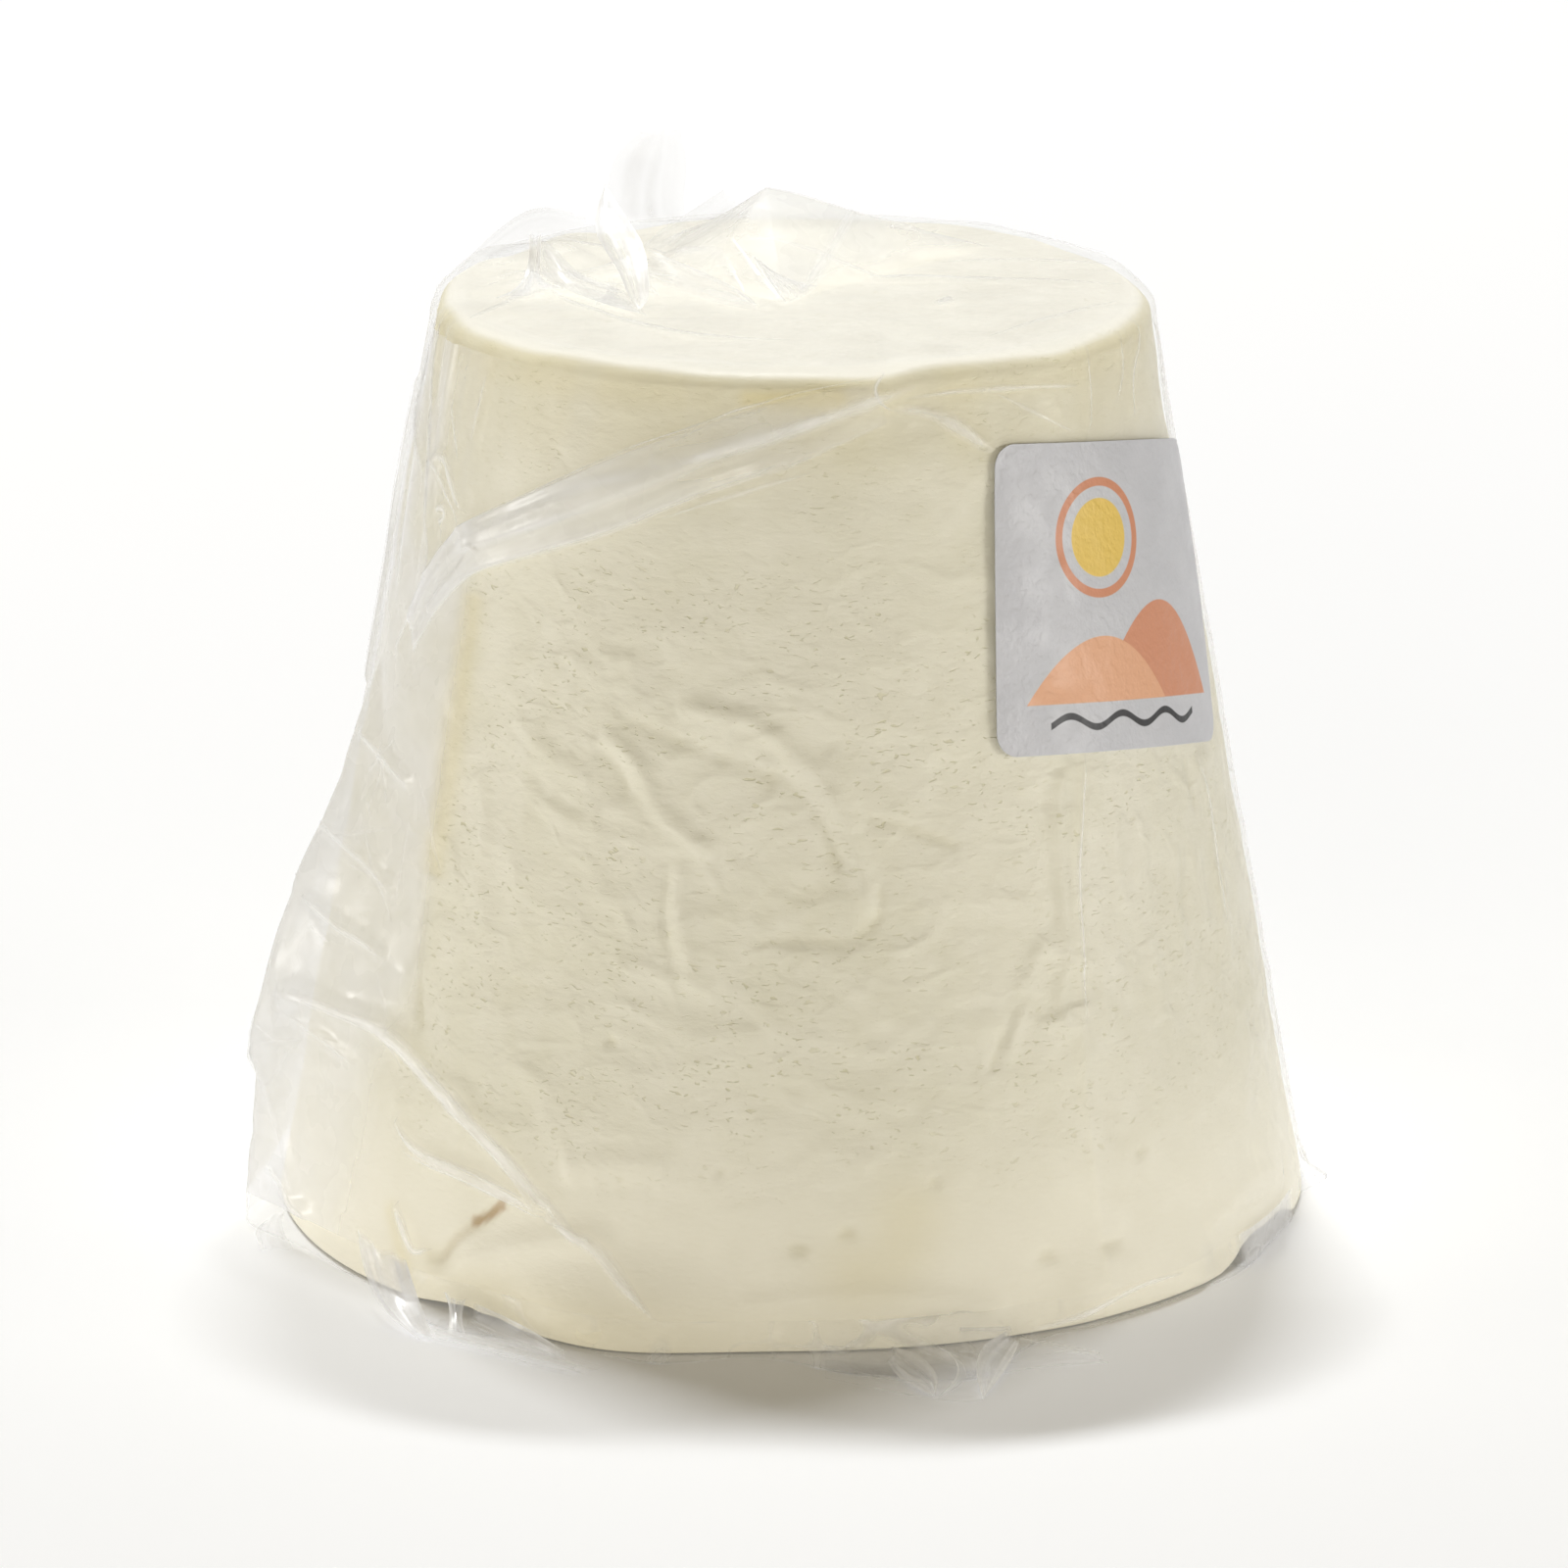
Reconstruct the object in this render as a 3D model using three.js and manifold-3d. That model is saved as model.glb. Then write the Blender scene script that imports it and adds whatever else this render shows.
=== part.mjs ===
// A soft white cheese in the shape of a cut-off cone, wrapped in clear film, with a paper label on the film.
// Millimetres, +Z up. The wrapped cheese stands on z = 0 and its axis is the Z axis. The label is towards +X.
// Angles go round the axis in degrees: 0 is the front, towards -Y, and 90 is the right, towards +X.
// The cheese and the film round it are one solid, out to the form of the film.

import * as THREE from "three";
import { ConvexGeometry } from "three/addons/geometries/ConvexGeometry.js";
import { mergeVertices } from "three/addons/utils/BufferGeometryUtils.js";
import Module from "manifold-3d";

// Cone that the film lies on, and how far the film stands off it
const BASE_RADIUS = 49;
const TOP_RADIUS = 32.7;
const HEIGHT = 87.2;
const TAPER = (BASE_RADIUS - TOP_RADIUS) / HEIGHT;
const TOP_ROUNDING = 3;
const FILM = 0.5;

// Unevenness of the pressed curd
const LUMP = 0.35;

// Foot: the soft curd has sagged outwards at the lower rim
const FOOT = { angle: -19, halfWidth: 11, reach: 2.6, height: 10 };

// Chips broken out of the lower rim: middle angle and half width in degrees, and height
const CHIPS = [
  { angle: -36, halfWidth: 8, height: 2.9 },
  { angle: 5, halfWidth: 12, height: 0.9 },
  { angle: 43, halfWidth: 6, height: 2.5 },
  { angle: 64, halfWidth: 8, height: 3.9 },
  { angle: 131, halfWidth: 10, height: 2.1 },
  { angle: -140, halfWidth: 9, height: 2.6 },
];
const CHIP_DEPTH = 6;

// Fin: the film stands off the left side as a flat fold whose ridge runs down to the floor
const FIN_LEAVES = -52;
const FIN_RIDGE = -76;
const FIN_RETURNS = -104;

// The fin's ridge, as heights and how far it stands off the cone there
const FIN_OUTLINE = [
  [2, 4.6],
  [14.5, 5.5],
  [18.5, 6.9],
  [33, 5.2],
  [43, 2.4],
  [55, 0],
];

// Band: the gathered edge of the film's outer layer slants across the front and down the left side
const BAND_PROUD = 1.2;
const BAND_HALF_WIDTH = 2.8;
const BAND_LEFT = -84;
const BAND_RIGHT = 38;

// The band's middle line, as angles and heights
const BAND_LINE = [
  [-77, 55.5],
  [-53, 69],
  [-31, 74.8],
  [4, 82.5],
];

// Skirt: the film spreads on the floor round the base, but draws in under the chips
const SKIRT_SPREAD = 1.5;
const SKIRT_JOINS = 3.2;

// Tongues of the skirt that lie further out: middle angle and half width in degrees, and reach
const TONGUES = [
  { angle: FIN_RIDGE, halfWidth: 9, reach: 3.6 },
  { angle: 13, halfWidth: 9, reach: 8.8 },
  { angle: -42, halfWidth: 7, reach: 3.4 },
  { angle: 91, halfWidth: 5, reach: 2.2 },
  { angle: 146, halfWidth: 8, reach: 5 },
  { angle: -128, halfWidth: 9, reach: 4.4 },
  { angle: 178, halfWidth: 7, reach: 3.4 },
];

// Tents: folds of the film that stand up from the top face. Each has the corners of its ridges [x, y, z]
// and the corners of its foot on the top face [x, y].
const TENTS = [
  // low fold near the left edge
  {
    ridges: [[-24, 6, 91.4], [-25, 13, 92]],
    foot: [[-31, -3], [-22, -15], [-15, -2], [-15, 12], [-22, 21], [-30, 11]],
  },
  // steep fold beside it
  {
    ridges: [[-17.5, 2, 96.8], [-15, 8, 95.5]],
    foot: [[-20, 8], [-19.5, -5], [-14, -13], [-10, -4], [-10, 10], [-15, 17]],
  },
  // tall fold behind them
  {
    ridges: [[-15, 17, 97.6], [-12, 22, 99.4], [-8, 24, 98.6]],
    foot: [[-21, 16], [-14, 6], [-4, 12], [0, 24], [-7, 31], [-16, 27]],
  },
  // wide fold in the middle, with a ridge to the right
  {
    ridges: [[-3, 11, 95], [-5.5, 3.5, 92.4], [11, 18, 90.2]],
    foot: [[0, -9], [4, -5], [13, 12], [21, 22], [9, 29], [-4, 30], [-12, 20], [-12, 3]],
  },
];

// Label: paper with rounded corners, turned a little clockwise on the film
const LABEL_WIDTH = 32.6;
const LABEL_HEIGHT = 28.3;
const LABEL_CORNER = 2.2;
const LABEL_ANGLE = 54.8;
const LABEL_MIDDLE = 63.9;
const LABEL_TURN = 10;
const LABEL_PAPER = 0.4;
const LABEL_GAP = 0.3;

// Corners round the axis. The fin's edges fall on them.
const COLUMNS = 90;

const radians = THREE.MathUtils.degToRad;
const between = THREE.MathUtils.lerp;
const smooth = (x, low, high) => THREE.MathUtils.smoothstep(x, low, high);

// The same angle, between -180 and 180 degrees
const shortWay = (angle) => ((((angle + 180) % 360) + 360) % 360) - 180;

// A rounded bump of height 1 round the axis
const bump = (angle, { angle: middle, halfWidth }) =>
  Math.exp(-((shortWay(angle - middle) / halfWidth) ** 2));

const coneRadius = (z) => BASE_RADIUS - TAPER * z;

// The value at x of a line through points [x, value] with rising x, level beyond its ends
function along(line, x) {
  const next = line.findIndex(([end]) => end >= x);
  if (next === 0) return line[0][1];
  if (next < 0) return line.at(-1)[1];
  const [[x0, value0], [x1, value1]] = line.slice(next - 1, next + 1);
  return THREE.MathUtils.mapLinear(x, x0, x1, value0, value1);
}

// Slow unevenness of the curd, and its sagged foot
function lumps(angle, z) {
  const a = radians(angle);
  const slow =
    0.6 * Math.sin(3 * a + 0.6) * Math.sin(z / 17 + 0.4) +
    0.4 * Math.sin(5 * a - 1.1 + z / 23) +
    0.3 * Math.sin(2 * a + 2.1 - z / 31);
  return LUMP * slow + FOOT.reach * bump(angle, FOOT) * (1 - smooth(z, 0, FOOT.height));
}

// Radius of the straight line, seen from above, from one point to another, where it crosses an angle
function chord(angle, from, fromRadius, to, toRadius) {
  const before = radians(angle - from);
  const after = radians(to - angle);
  return (fromRadius * toRadius * Math.sin(before + after)) /
    (fromRadius * Math.sin(before) + toRadius * Math.sin(after));
}

// How far the fin's flat flanks stand proud of the cone
function fin(angle, z) {
  if (angle < FIN_RETURNS || angle > FIN_LEAVES) return 0;
  const cone = coneRadius(z);
  const foot = angle > FIN_RIDGE ? FIN_LEAVES : FIN_RETURNS;
  return Math.max(0, chord(angle, FIN_RIDGE, cone + along(FIN_OUTLINE, z), foot, cone) - cone);
}

// How much of the gathered band there is at an angle, fading to none at its two ends
const bandShown = (angle) => smooth(angle - BAND_LEFT, 0, 9) * smooth(BAND_RIGHT - angle, 0, 14);

const filmRadius = (angle, z) => coneRadius(z) + FILM + lumps(angle, z) + fin(angle, z);

// How far the film reaches from the axis on the floor
const skirtRadius = (angle) =>
  TONGUES.reduce(
    (radius, tongue) => radius + tongue.reach * bump(angle, tongue),
    BASE_RADIUS + SKIRT_SPREAD + lumps(angle, 0),
  );

// How high the chips lift the lower rim at an angle. The fin spans the chips that it passes.
const rimLift = (angle) =>
  CHIPS.reduce((lift, chip) => lift + chip.height * bump(angle, chip), 0.3) *
  (1 - smooth(fin(angle, SKIRT_JOINS), 0, 1.5));

// The foot of the half section: the skirt on the floor, or the film drawn in under a chip
function footSection(angle) {
  const lift = rimLift(angle);
  const rim = coneRadius(lift) + lumps(angle, lift);
  const spreads = 1 - smooth(lift, 0.9, 2.2);
  const joinsAt = SKIRT_JOINS + lift * (1 - spreads);
  const joins = filmRadius(angle, joinsAt);
  const skirt = between(rim - CHIP_DEPTH, skirtRadius(angle), spreads);
  // a point of the skirt's slope, or of the rounded rim above a chip
  const point = ([slopeShare, slopeZ], [chipRadius, chipZ]) => [
    between(chipRadius, between(skirt, joins, slopeShare), spreads),
    between(chipZ, slopeZ, spreads),
  ];
  return [
    [0, 0],
    [skirt, 0],
    [skirt, FILM],
    point([0.5, FILM + 0.8], [rim - 0.4, lift]),
    point([0.8, FILM + 1.6], [rim + 0.5, lift + 0.8]),
    [joins, joinsAt],
  ];
}

// Half section at an angle, as [radius, z] from the middle of the base to the middle of the top
function halfSection(angle) {
  const section = footSection(angle);
  const joinsAt = section.at(-1)[1];
  const straightTo = HEIGHT - TOP_ROUNDING + FILM;
  const bandLow = along(BAND_LINE, angle) - BAND_HALF_WIDTH;
  for (const share of [0.1, 0.22, 0.34, 0.48, 0.64, 0.82]) {
    const z = between(joinsAt, bandLow, share);
    section.push([filmRadius(angle, z), z]);
  }
  for (const [share, proud] of [[0, 0], [0.3, 1], [0.7, 1], [1, 0]]) {
    const z = Math.min(bandLow + 2 * BAND_HALF_WIDTH * share, straightTo - 0.8 + 0.4 * share);
    section.push([filmRadius(angle, z) + BAND_PROUD * proud * bandShown(angle), z]);
  }
  const rim = filmRadius(angle, straightTo) - TOP_ROUNDING;
  for (const t of [0, 30, 60, 90].map(radians)) {
    section.push([rim + TOP_ROUNDING * Math.cos(t), straightTo + TOP_ROUNDING * Math.sin(t)]);
  }
  section.push([0, HEIGHT + FILM]);
  return section;
}

function indexed(position, index) {
  const geometry = new THREE.BufferGeometry();
  geometry.setAttribute("position", new THREE.Float32BufferAttribute(position, 3));
  geometry.setIndex(index);
  geometry.computeVertexNormals();
  return geometry;
}

// A closed surface through the half sections at equal angles round the axis
function bodyGeometry() {
  const angles = Array.from({ length: COLUMNS }, (_, i) => shortWay((i * 360) / COLUMNS));
  const sections = angles.map(halfSection);
  const rows = sections[0].length - 2;
  const position = [0, 0, 0];
  sections.forEach((section, i) => {
    const a = radians(angles[i]);
    for (const [radius, z] of section.slice(1, -1)) {
      position.push(radius * Math.sin(a), -radius * Math.cos(a), z);
    }
  });
  position.push(0, 0, HEIGHT + FILM);
  const topMiddle = 1 + COLUMNS * rows;
  const at = (i, row) => 1 + (i % COLUMNS) * rows + row;
  const index = [];
  for (let i = 0; i < COLUMNS; i++) {
    index.push(0, at(i + 1, 0), at(i, 0));
    for (let row = 0; row < rows - 1; row++) {
      index.push(at(i, row), at(i + 1, row), at(i + 1, row + 1));
      index.push(at(i, row), at(i + 1, row + 1), at(i, row + 1));
    }
    index.push(topMiddle, at(i, rows - 1), at(i + 1, rows - 1));
  }
  return indexed(position, index);
}

// A tent of film is the smallest solid round its ridges and its foot, sunk a little into the top face
function tentGeometry({ ridges, foot }) {
  const corners = [...ridges, ...foot.map(([x, y]) => [x, y, HEIGHT])];
  return new ConvexGeometry(corners.map((corner) => new THREE.Vector3(...corner)));
}

const wasm = await Module();
wasm.setup();

// A closed geometry as a solid that can be joined to others
function solid(geometry) {
  const bare = geometry.clone();
  bare.deleteAttribute("normal");
  const merged = mergeVertices(bare);
  return new wasm.Manifold(
    new wasm.Mesh({
      numProp: 3,
      vertProperties: new Float32Array(merged.attributes.position.array),
      triVerts: new Uint32Array(merged.index.array),
    }),
  );
}

function wrappedCheeseGeometry() {
  const joined = TENTS.reduce((body, tent) => body.add(solid(tentGeometry(tent))), solid(bodyGeometry()));
  const mesh = joined.getMesh();
  return indexed(Array.from(mesh.vertProperties), Array.from(mesh.triVerts));
}

// A point of the label, across and down from its middle on the flat paper, as [angle, z] on the cone:
// the cone is rolled out flat, the paper is laid on it and the cone is rolled up again
function onCone(across, down) {
  const share = Math.sin(Math.atan(TAPER));
  const turned = new THREE.Vector2(across, down).rotateAround(new THREE.Vector2(), radians(LABEL_TURN));
  const slant = coneRadius(LABEL_MIDDLE) / share + turned.y;
  const z = (BASE_RADIUS - share * Math.hypot(turned.x, slant)) / TAPER;
  return [LABEL_ANGLE + THREE.MathUtils.radToDeg(Math.atan2(turned.x, slant)) / share, z];
}

// Half width of the label's rounded outline, down from its middle
function labelHalfWidth(down) {
  const intoCorner = Math.max(0, Math.abs(down) - (LABEL_HEIGHT / 2 - LABEL_CORNER));
  return LABEL_WIDTH / 2 - LABEL_CORNER + Math.sqrt(Math.max(0, LABEL_CORNER ** 2 - intoCorner ** 2));
}

// The label's two curved faces and the edge between them
function labelGeometry() {
  const rows = [-1, -0.985, -0.945, -0.87, -0.5, 0, 0.5, 0.87, 0.945, 0.985, 1];
  const columns = 14;
  const position = [];
  for (const lift of [LABEL_GAP, LABEL_GAP + LABEL_PAPER]) {
    for (const share of rows) {
      const down = (LABEL_HEIGHT / 2) * share;
      for (let i = 0; i <= columns; i++) {
        const [angle, z] = onCone(labelHalfWidth(down) * ((2 * i) / columns - 1), down);
        const radius = coneRadius(z) + FILM + lumps(angle, z) + lift;
        position.push(radius * Math.sin(radians(angle)), -radius * Math.cos(radians(angle)), z);
      }
    }
  }
  const outer = rows.length * (columns + 1);
  const at = (row, i) => row * (columns + 1) + i;
  const index = [];
  const quad = (a, b, c, d) => index.push(a, b, c, a, c, d);
  for (let row = 0; row < rows.length - 1; row++) {
    for (let i = 0; i < columns; i++) {
      quad(outer + at(row, i), outer + at(row + 1, i), outer + at(row + 1, i + 1), outer + at(row, i + 1));
      quad(at(row, i), at(row, i + 1), at(row + 1, i + 1), at(row + 1, i));
    }
    quad(at(row, 0), at(row + 1, 0), outer + at(row + 1, 0), outer + at(row, 0));
    quad(at(row + 1, columns), at(row, columns), outer + at(row, columns), outer + at(row + 1, columns));
  }
  const end = rows.length - 1;
  for (let i = 0; i < columns; i++) {
    quad(at(0, i + 1), at(0, i), outer + at(0, i), outer + at(0, i + 1));
    quad(at(end, i), at(end, i + 1), outer + at(end, i + 1), outer + at(end, i));
  }
  return indexed(position, index);
}

function piece(name, geometry, look) {
  const mesh = new THREE.Mesh(geometry, new THREE.MeshStandardMaterial(look));
  mesh.name = name;
  return mesh;
}

const wrappedCheese = new THREE.Group();
wrappedCheese.add(
  piece("wrapped_cheese", wrappedCheeseGeometry(), {
    color: 0xefe9d4,
    roughness: 0.25,
    metalness: 0,
    flatShading: true,
  }),
  piece("label", labelGeometry(), {
    color: 0xe6e6ec,
    roughness: 0.5,
    metalness: 0,
  }),
);

export default wrappedCheese;
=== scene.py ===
import math

import bmesh
import bpy
import numpy as np
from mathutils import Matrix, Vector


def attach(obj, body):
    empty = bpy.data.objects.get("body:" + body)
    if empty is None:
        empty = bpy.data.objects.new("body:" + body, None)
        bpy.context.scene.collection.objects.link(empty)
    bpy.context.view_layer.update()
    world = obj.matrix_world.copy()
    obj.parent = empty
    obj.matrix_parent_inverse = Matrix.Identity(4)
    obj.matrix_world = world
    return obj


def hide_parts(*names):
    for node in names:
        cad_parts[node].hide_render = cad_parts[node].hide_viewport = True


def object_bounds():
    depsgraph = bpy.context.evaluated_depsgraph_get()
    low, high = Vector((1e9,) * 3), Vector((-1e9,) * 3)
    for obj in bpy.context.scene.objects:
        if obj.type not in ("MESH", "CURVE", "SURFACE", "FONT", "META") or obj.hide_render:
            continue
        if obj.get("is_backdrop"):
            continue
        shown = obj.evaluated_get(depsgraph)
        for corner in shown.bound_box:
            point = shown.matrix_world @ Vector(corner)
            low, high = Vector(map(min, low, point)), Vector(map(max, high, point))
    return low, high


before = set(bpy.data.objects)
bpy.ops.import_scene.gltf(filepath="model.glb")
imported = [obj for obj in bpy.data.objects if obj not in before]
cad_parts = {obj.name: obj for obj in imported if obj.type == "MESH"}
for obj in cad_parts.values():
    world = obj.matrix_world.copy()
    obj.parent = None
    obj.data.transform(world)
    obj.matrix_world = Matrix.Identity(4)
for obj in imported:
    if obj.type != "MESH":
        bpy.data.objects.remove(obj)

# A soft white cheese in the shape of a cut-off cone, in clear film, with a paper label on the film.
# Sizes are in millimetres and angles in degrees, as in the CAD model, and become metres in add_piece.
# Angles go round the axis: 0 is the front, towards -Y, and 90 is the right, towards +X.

cad_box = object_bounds()
MM = 0.001

# Cone that the film lies on, and how far the film stands off it
BASE_RADIUS = 49
TOP_RADIUS = 32.7
HEIGHT = 87.2
TAPER = (BASE_RADIUS - TOP_RADIUS) / HEIGHT
MIDDLE_RADIUS = 41
TOP_ROUNDING = 2
FILM = 0.5
LUMP = 0.35

# Foot: the soft curd has sagged outwards at the lower rim
FOOT_ANGLE, FOOT_HALF_WIDTH, FOOT_REACH, FOOT_HEIGHT = -19, 11, 2.6, 10

# How high the lower rim lies, by angle, where the photograph shows it, and the chips behind: middle, half
# width and height
RIM_LIFT, RIM_ROUNDING = 0.3, 0.4
RIM_RISES = [(-46, 0), (-42, 0.3), (-37, 0.6), (-33, 0.4), (-29, 0), (55, 0), (57, 0.4), (60, 1.2),
             (65, 1.8),
             (71, 1.9), (75.5, 0.9), (79, 0.2), (84, 0)]
BACK_CHIPS = [(131, 10, 2.1), (-140, 9, 2.6)]
CHIP_DEPTH = 6

# Overhang at the right of the foot: height of its edge by angle, and how far it stands out
OVERHANG = [(25, 0.3), (29.9, 0.9), (34.7, 1.9), (40, 2.9), (44, 2.9), (48, 2.1), (53, 0.8), (56, 0.3)]
OVERHANG_REACH, OVERHANG_FADE = 0.9, 7

# Front edge of a second layer of film at the right: angle by height
SECOND_LAYER = [(26, 36.4), (40, 38), (51, 41.8), (66, 46), (83, 51.8)]

# Fin: the film stands off the left side as a flat fold whose ridge runs down to the floor
FIN_LEAVES, FIN_RIDGE, FIN_RETURNS = -52, -76, -104
FIN_OUTLINE = [(2, 4.6), (14.5, 5.5), (18.5, 6.9), (33, 5.2), (43, 2.4), (55, 0)]

# Skirt: the film spreads on the floor round the base. Tongues: middle angle, half width, reach
SKIRT_SPREAD = 0.4
SKIRT_JOINS = 3.2
TONGUES = [
    (FIN_RIDGE, 9, 3.6), (15, 8, 9), (5, 5, 3), (-14, 6, 1.6), (-36, 8, 4.2), (91, 4, 2.6), (146, 8, 5),
    (-128, 9, 4.4),
    (178, 7, 3.4),
]

# A tent of film on the top face: corners of the ridges, and corners of the foot
TENTS = [
    ([(-2.4, 12, 94.7), (-5.7, 4, 91.9), (4.5, 12.5, 92.8), (9.6, 14, 91)],
     [(-0.6, -6.8), (2.4, 0.9), (5.9, 13.2), (10.4, 26), (4, 30), (-8, 28), (-13, 20), (-13, 10), (-9, -1)]),
]

# Low swells of film there: crest as a line of corners, width at the foot, sharpness
PEAKS = [
    ([(-24.3, 2, 88.9), (-24, 0, 88.6)], 2.6, 1.2),
    ([(-16, 5, 89.4), (-13.7, 2, 88.6)], 2.6, 1.2),
    ([(-28, 12, 88.4), (-22, 12, 89.4)], 5, 2),
]

# Standing folds of film: two long edges as lines of corners, how milky, and how white the two edges are, the
# white partly a painted glint
FOLDS_ON_TOP = [
    ([(-17.4, 5, 96.4), (-18.2, 1.7, 94.5), (-18.3, -0.7, 93.1), (-17.2, -3.3, 91.7), (-16, -5.4, 90.5),
      (-15.2, -8, 88.9), (-14.2, -10, 87.9)],
     [(-17.4, 5, 96.4), (-16.4, 2.9, 95.2), (-15, 0.4, 93.7), (-13.7, -2.2, 92.3), (-13.2, -5.9, 90.2),
      (-13.1, -8.5, 88.6), (-13.9, -10, 87.9)], 0.8, 0.8, 1.0),
    ([(-17.6, 14, 91.6), (-17.4, 15, 94.2), (-16.8, 16, 96.8), (-14.2, 16, 99)],
     [(-9.6, 14, 90.2), (-10.4, 15, 92.4), (-9.8, 16, 95.6), (-10.6, 16, 99.2)], 0.4, 0, 0),
    ([(-14, 8, 89.8), (-12, 9, 91.4), (-9, 10, 93), (-6.5, 11, 94.5)],
     [(-12, 6, 88.6), (-9.5, 7, 89.6), (-6.5, 8, 90.8), (-4, 9, 92.4)], 0.4, 0.2, 0),
    ([(-24.5, 3, 92), (-24.5, 3, 89.9), (-24.8, 1, 88.6), (-25.6, -2, 87.9), (-27.5, -5, 87.8)],
     [(-23.4, 3, 92), (-23.4, 3, 89.9), (-23.6, 2, 88.5), (-23, 1, 87.9), (-21.2, -1, 87.8)], 1.0, 0.7, 0.4),
    ([(-23.4, 3, 91.6), (-22.1, 3, 90.8), (-20.3, 2, 88.8), (-18.3, 1, 88), (-15.9, -1, 87.8)],
     [(-23.7, 2, 88.8), (-22.4, 0, 88.1), (-19.8, -4, 87.9), (-16.5, -9, 87.9),
      (-13.3, -12, 87.8)], 0.65, 0.15, 0.6),
    ([(-33.6, 8, 84), (-31.4, 11, 86.9), (-28.8, 12, 89.6), (-25.5, 12, 92.2), (-23, 12, 92.8),
      (-19.4, 10, 92.1)],
     [(-33, 4, 83.6), (-30.2, 8, 86), (-28, 10, 87.8), (-25.2, 10, 89.2), (-22.9, 10, 90), (-19.1, 8, 90)],
     0.28, 0.2, 0),
    ([(-13.4, 4, 90.4), (-9.9, 2, 89.4), (-5.6, -2, 88.4), (-3.2, -8, 87.9)],
     [(-13.3, 2, 88), (-10.7, -2, 87.9), (-7.1, -7, 87.8), (-3.4, -10, 87.8)], 0.4, 0.3, 0),
    ([(-3.6, -0.9, 90.9), (-2.1, -4, 89.3), (-0.7, -7.4, 88)],
     [(-3.6, -0.9, 90.9), (-1, -2, 89.1), (2.3, -0.4, 87.9)], 0.9, 0.8, 0.8),
]

# The same at the foot: a bunch and a twist under the left fold, the torn strip there, and the crumple in
# front
FOLDS_AT_FOOT = [
    ([(-40, -33, 6.5), (-39.5, -35.6, 3.5), (-37.5, -41, 1.4), (-33.9, -46, 0.3)],
     [(-35.4, -37.4, 5), (-34.4, -39.4, 2.5), (-33.4, -42.4, 1), (-32.5, -45.5, 0.2)], 1.4, 0.3, 0.3),
    ([(-31.8, -39.5, 2.6), (-31.2, -41.5, 1.6), (-31.3, -45.2, 0.3)],
     [(-29.8, -40.8, 2.4), (-30.2, -42.5, 1.2), (-29.6, -45.4, 0.3)], 1.0, 0.8, 0.1),
    ([(-29, -41.4, 2.2), (-24.6, -45.4, 1.6), (-20.5, -49.9, 0.6)],
     [(-29.8, -43, 0.4), (-25.4, -48, 0.2), (-20.2, -52, 0.2)], 0.9, 0.4, 0),
    ([(-34, -46, 0.3), (-27, -50.5, 0.25), (-20, -55.5, 0.25)],
     [(-32, -42, 0.9), (-25, -47.5, 0.6), (-17, -53, 0.3)], 0.6, 0, 0),
    ([(19.5, -46.6, 1.4), (17, -50.5, 1.3), (16.4, -56, 0.9), (17, -61.5, 0.3)],
     [(20.6, -48, 0.8), (19.8, -52, 0.5), (18.7, -56, 0.4), (17, -61.3, 0.2)], 1.5, 0.5, 0.8),
    ([(9, -51, 1.5), (11.6, -53, 1.4), (13.2, -57, 0.9), (12.8, -60.6, 0.3)],
     [(8.6, -52.6, 0.7), (9.4, -56, 0.4), (11.2, -59, 0.3), (12.6, -60.6, 0.2)], 1.3, 0.4, 0.4),
    ([(12.6, -50.3, 1.6), (14.6, -53.5, 1.5), (15, -57, 0.9), (13, -60.8, 0.2)],
     [(13.4, -50.3, 1.2), (15.6, -54, 0.9), (15.6, -57.5, 0.5), (13.2, -60.8, 0.2)], 0.45, 0.7, 0.2),
    ([(15.2, -48, 2.2), (17.2, -48.6, 2.4), (19.8, -46.8, 1.9)],
     [(15, -50, 0.6), (17.6, -51, 0.7), (20.4, -48, 0.6)], 0.2, 0.8, 0.4),
    ([(3, -50.5, 1.4), (6, -50.8, 1.3), (9.4, -51.4, 1.4)],
     [(2.4, -53, 0.3), (6, -55.6, 0.25), (9.4, -56.5, 0.25)], 0.3, 0.35, 0.2),
    ([(20.6, -47.4, 1), (24, -48, 0.7), (27.8, -49.4, 0.3)],
     [(19, -55, 0.3), (22.6, -53, 0.3), (28.6, -51.8, 0.2)], 0.12, 0.7, 0.5),
    ([(3, -56, 0.3), (9, -60, 0.35), (15, -62.6, 0.3), (17, -61.6, 0.2)],
     [(3, -52, 0.6), (8, -54, 0.7), (13, -54, 0.8), (16, -52, 1)], 0.14, 0.3, 0),
    ([(-49.6, -13, 0.4), (-50.6, -17, 0.7), (-49.6, -21.4, 0.3)],
     [(-47.8, -13.6, 1.6), (-48, -17.6, 1.3), (-46.6, -21.8, 0.6)], 0.3, 0.6, 0.2),
]

# Label
LABEL_WIDTH, LABEL_HEIGHT, LABEL_CORNER = 32.6, 28.3, 2.2
LABEL_ANGLE, LABEL_MIDDLE, LABEL_TURN = 54.8, 63.9, 10
LABEL_PAPER, LABEL_GAP = 0.1, 0.05

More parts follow.
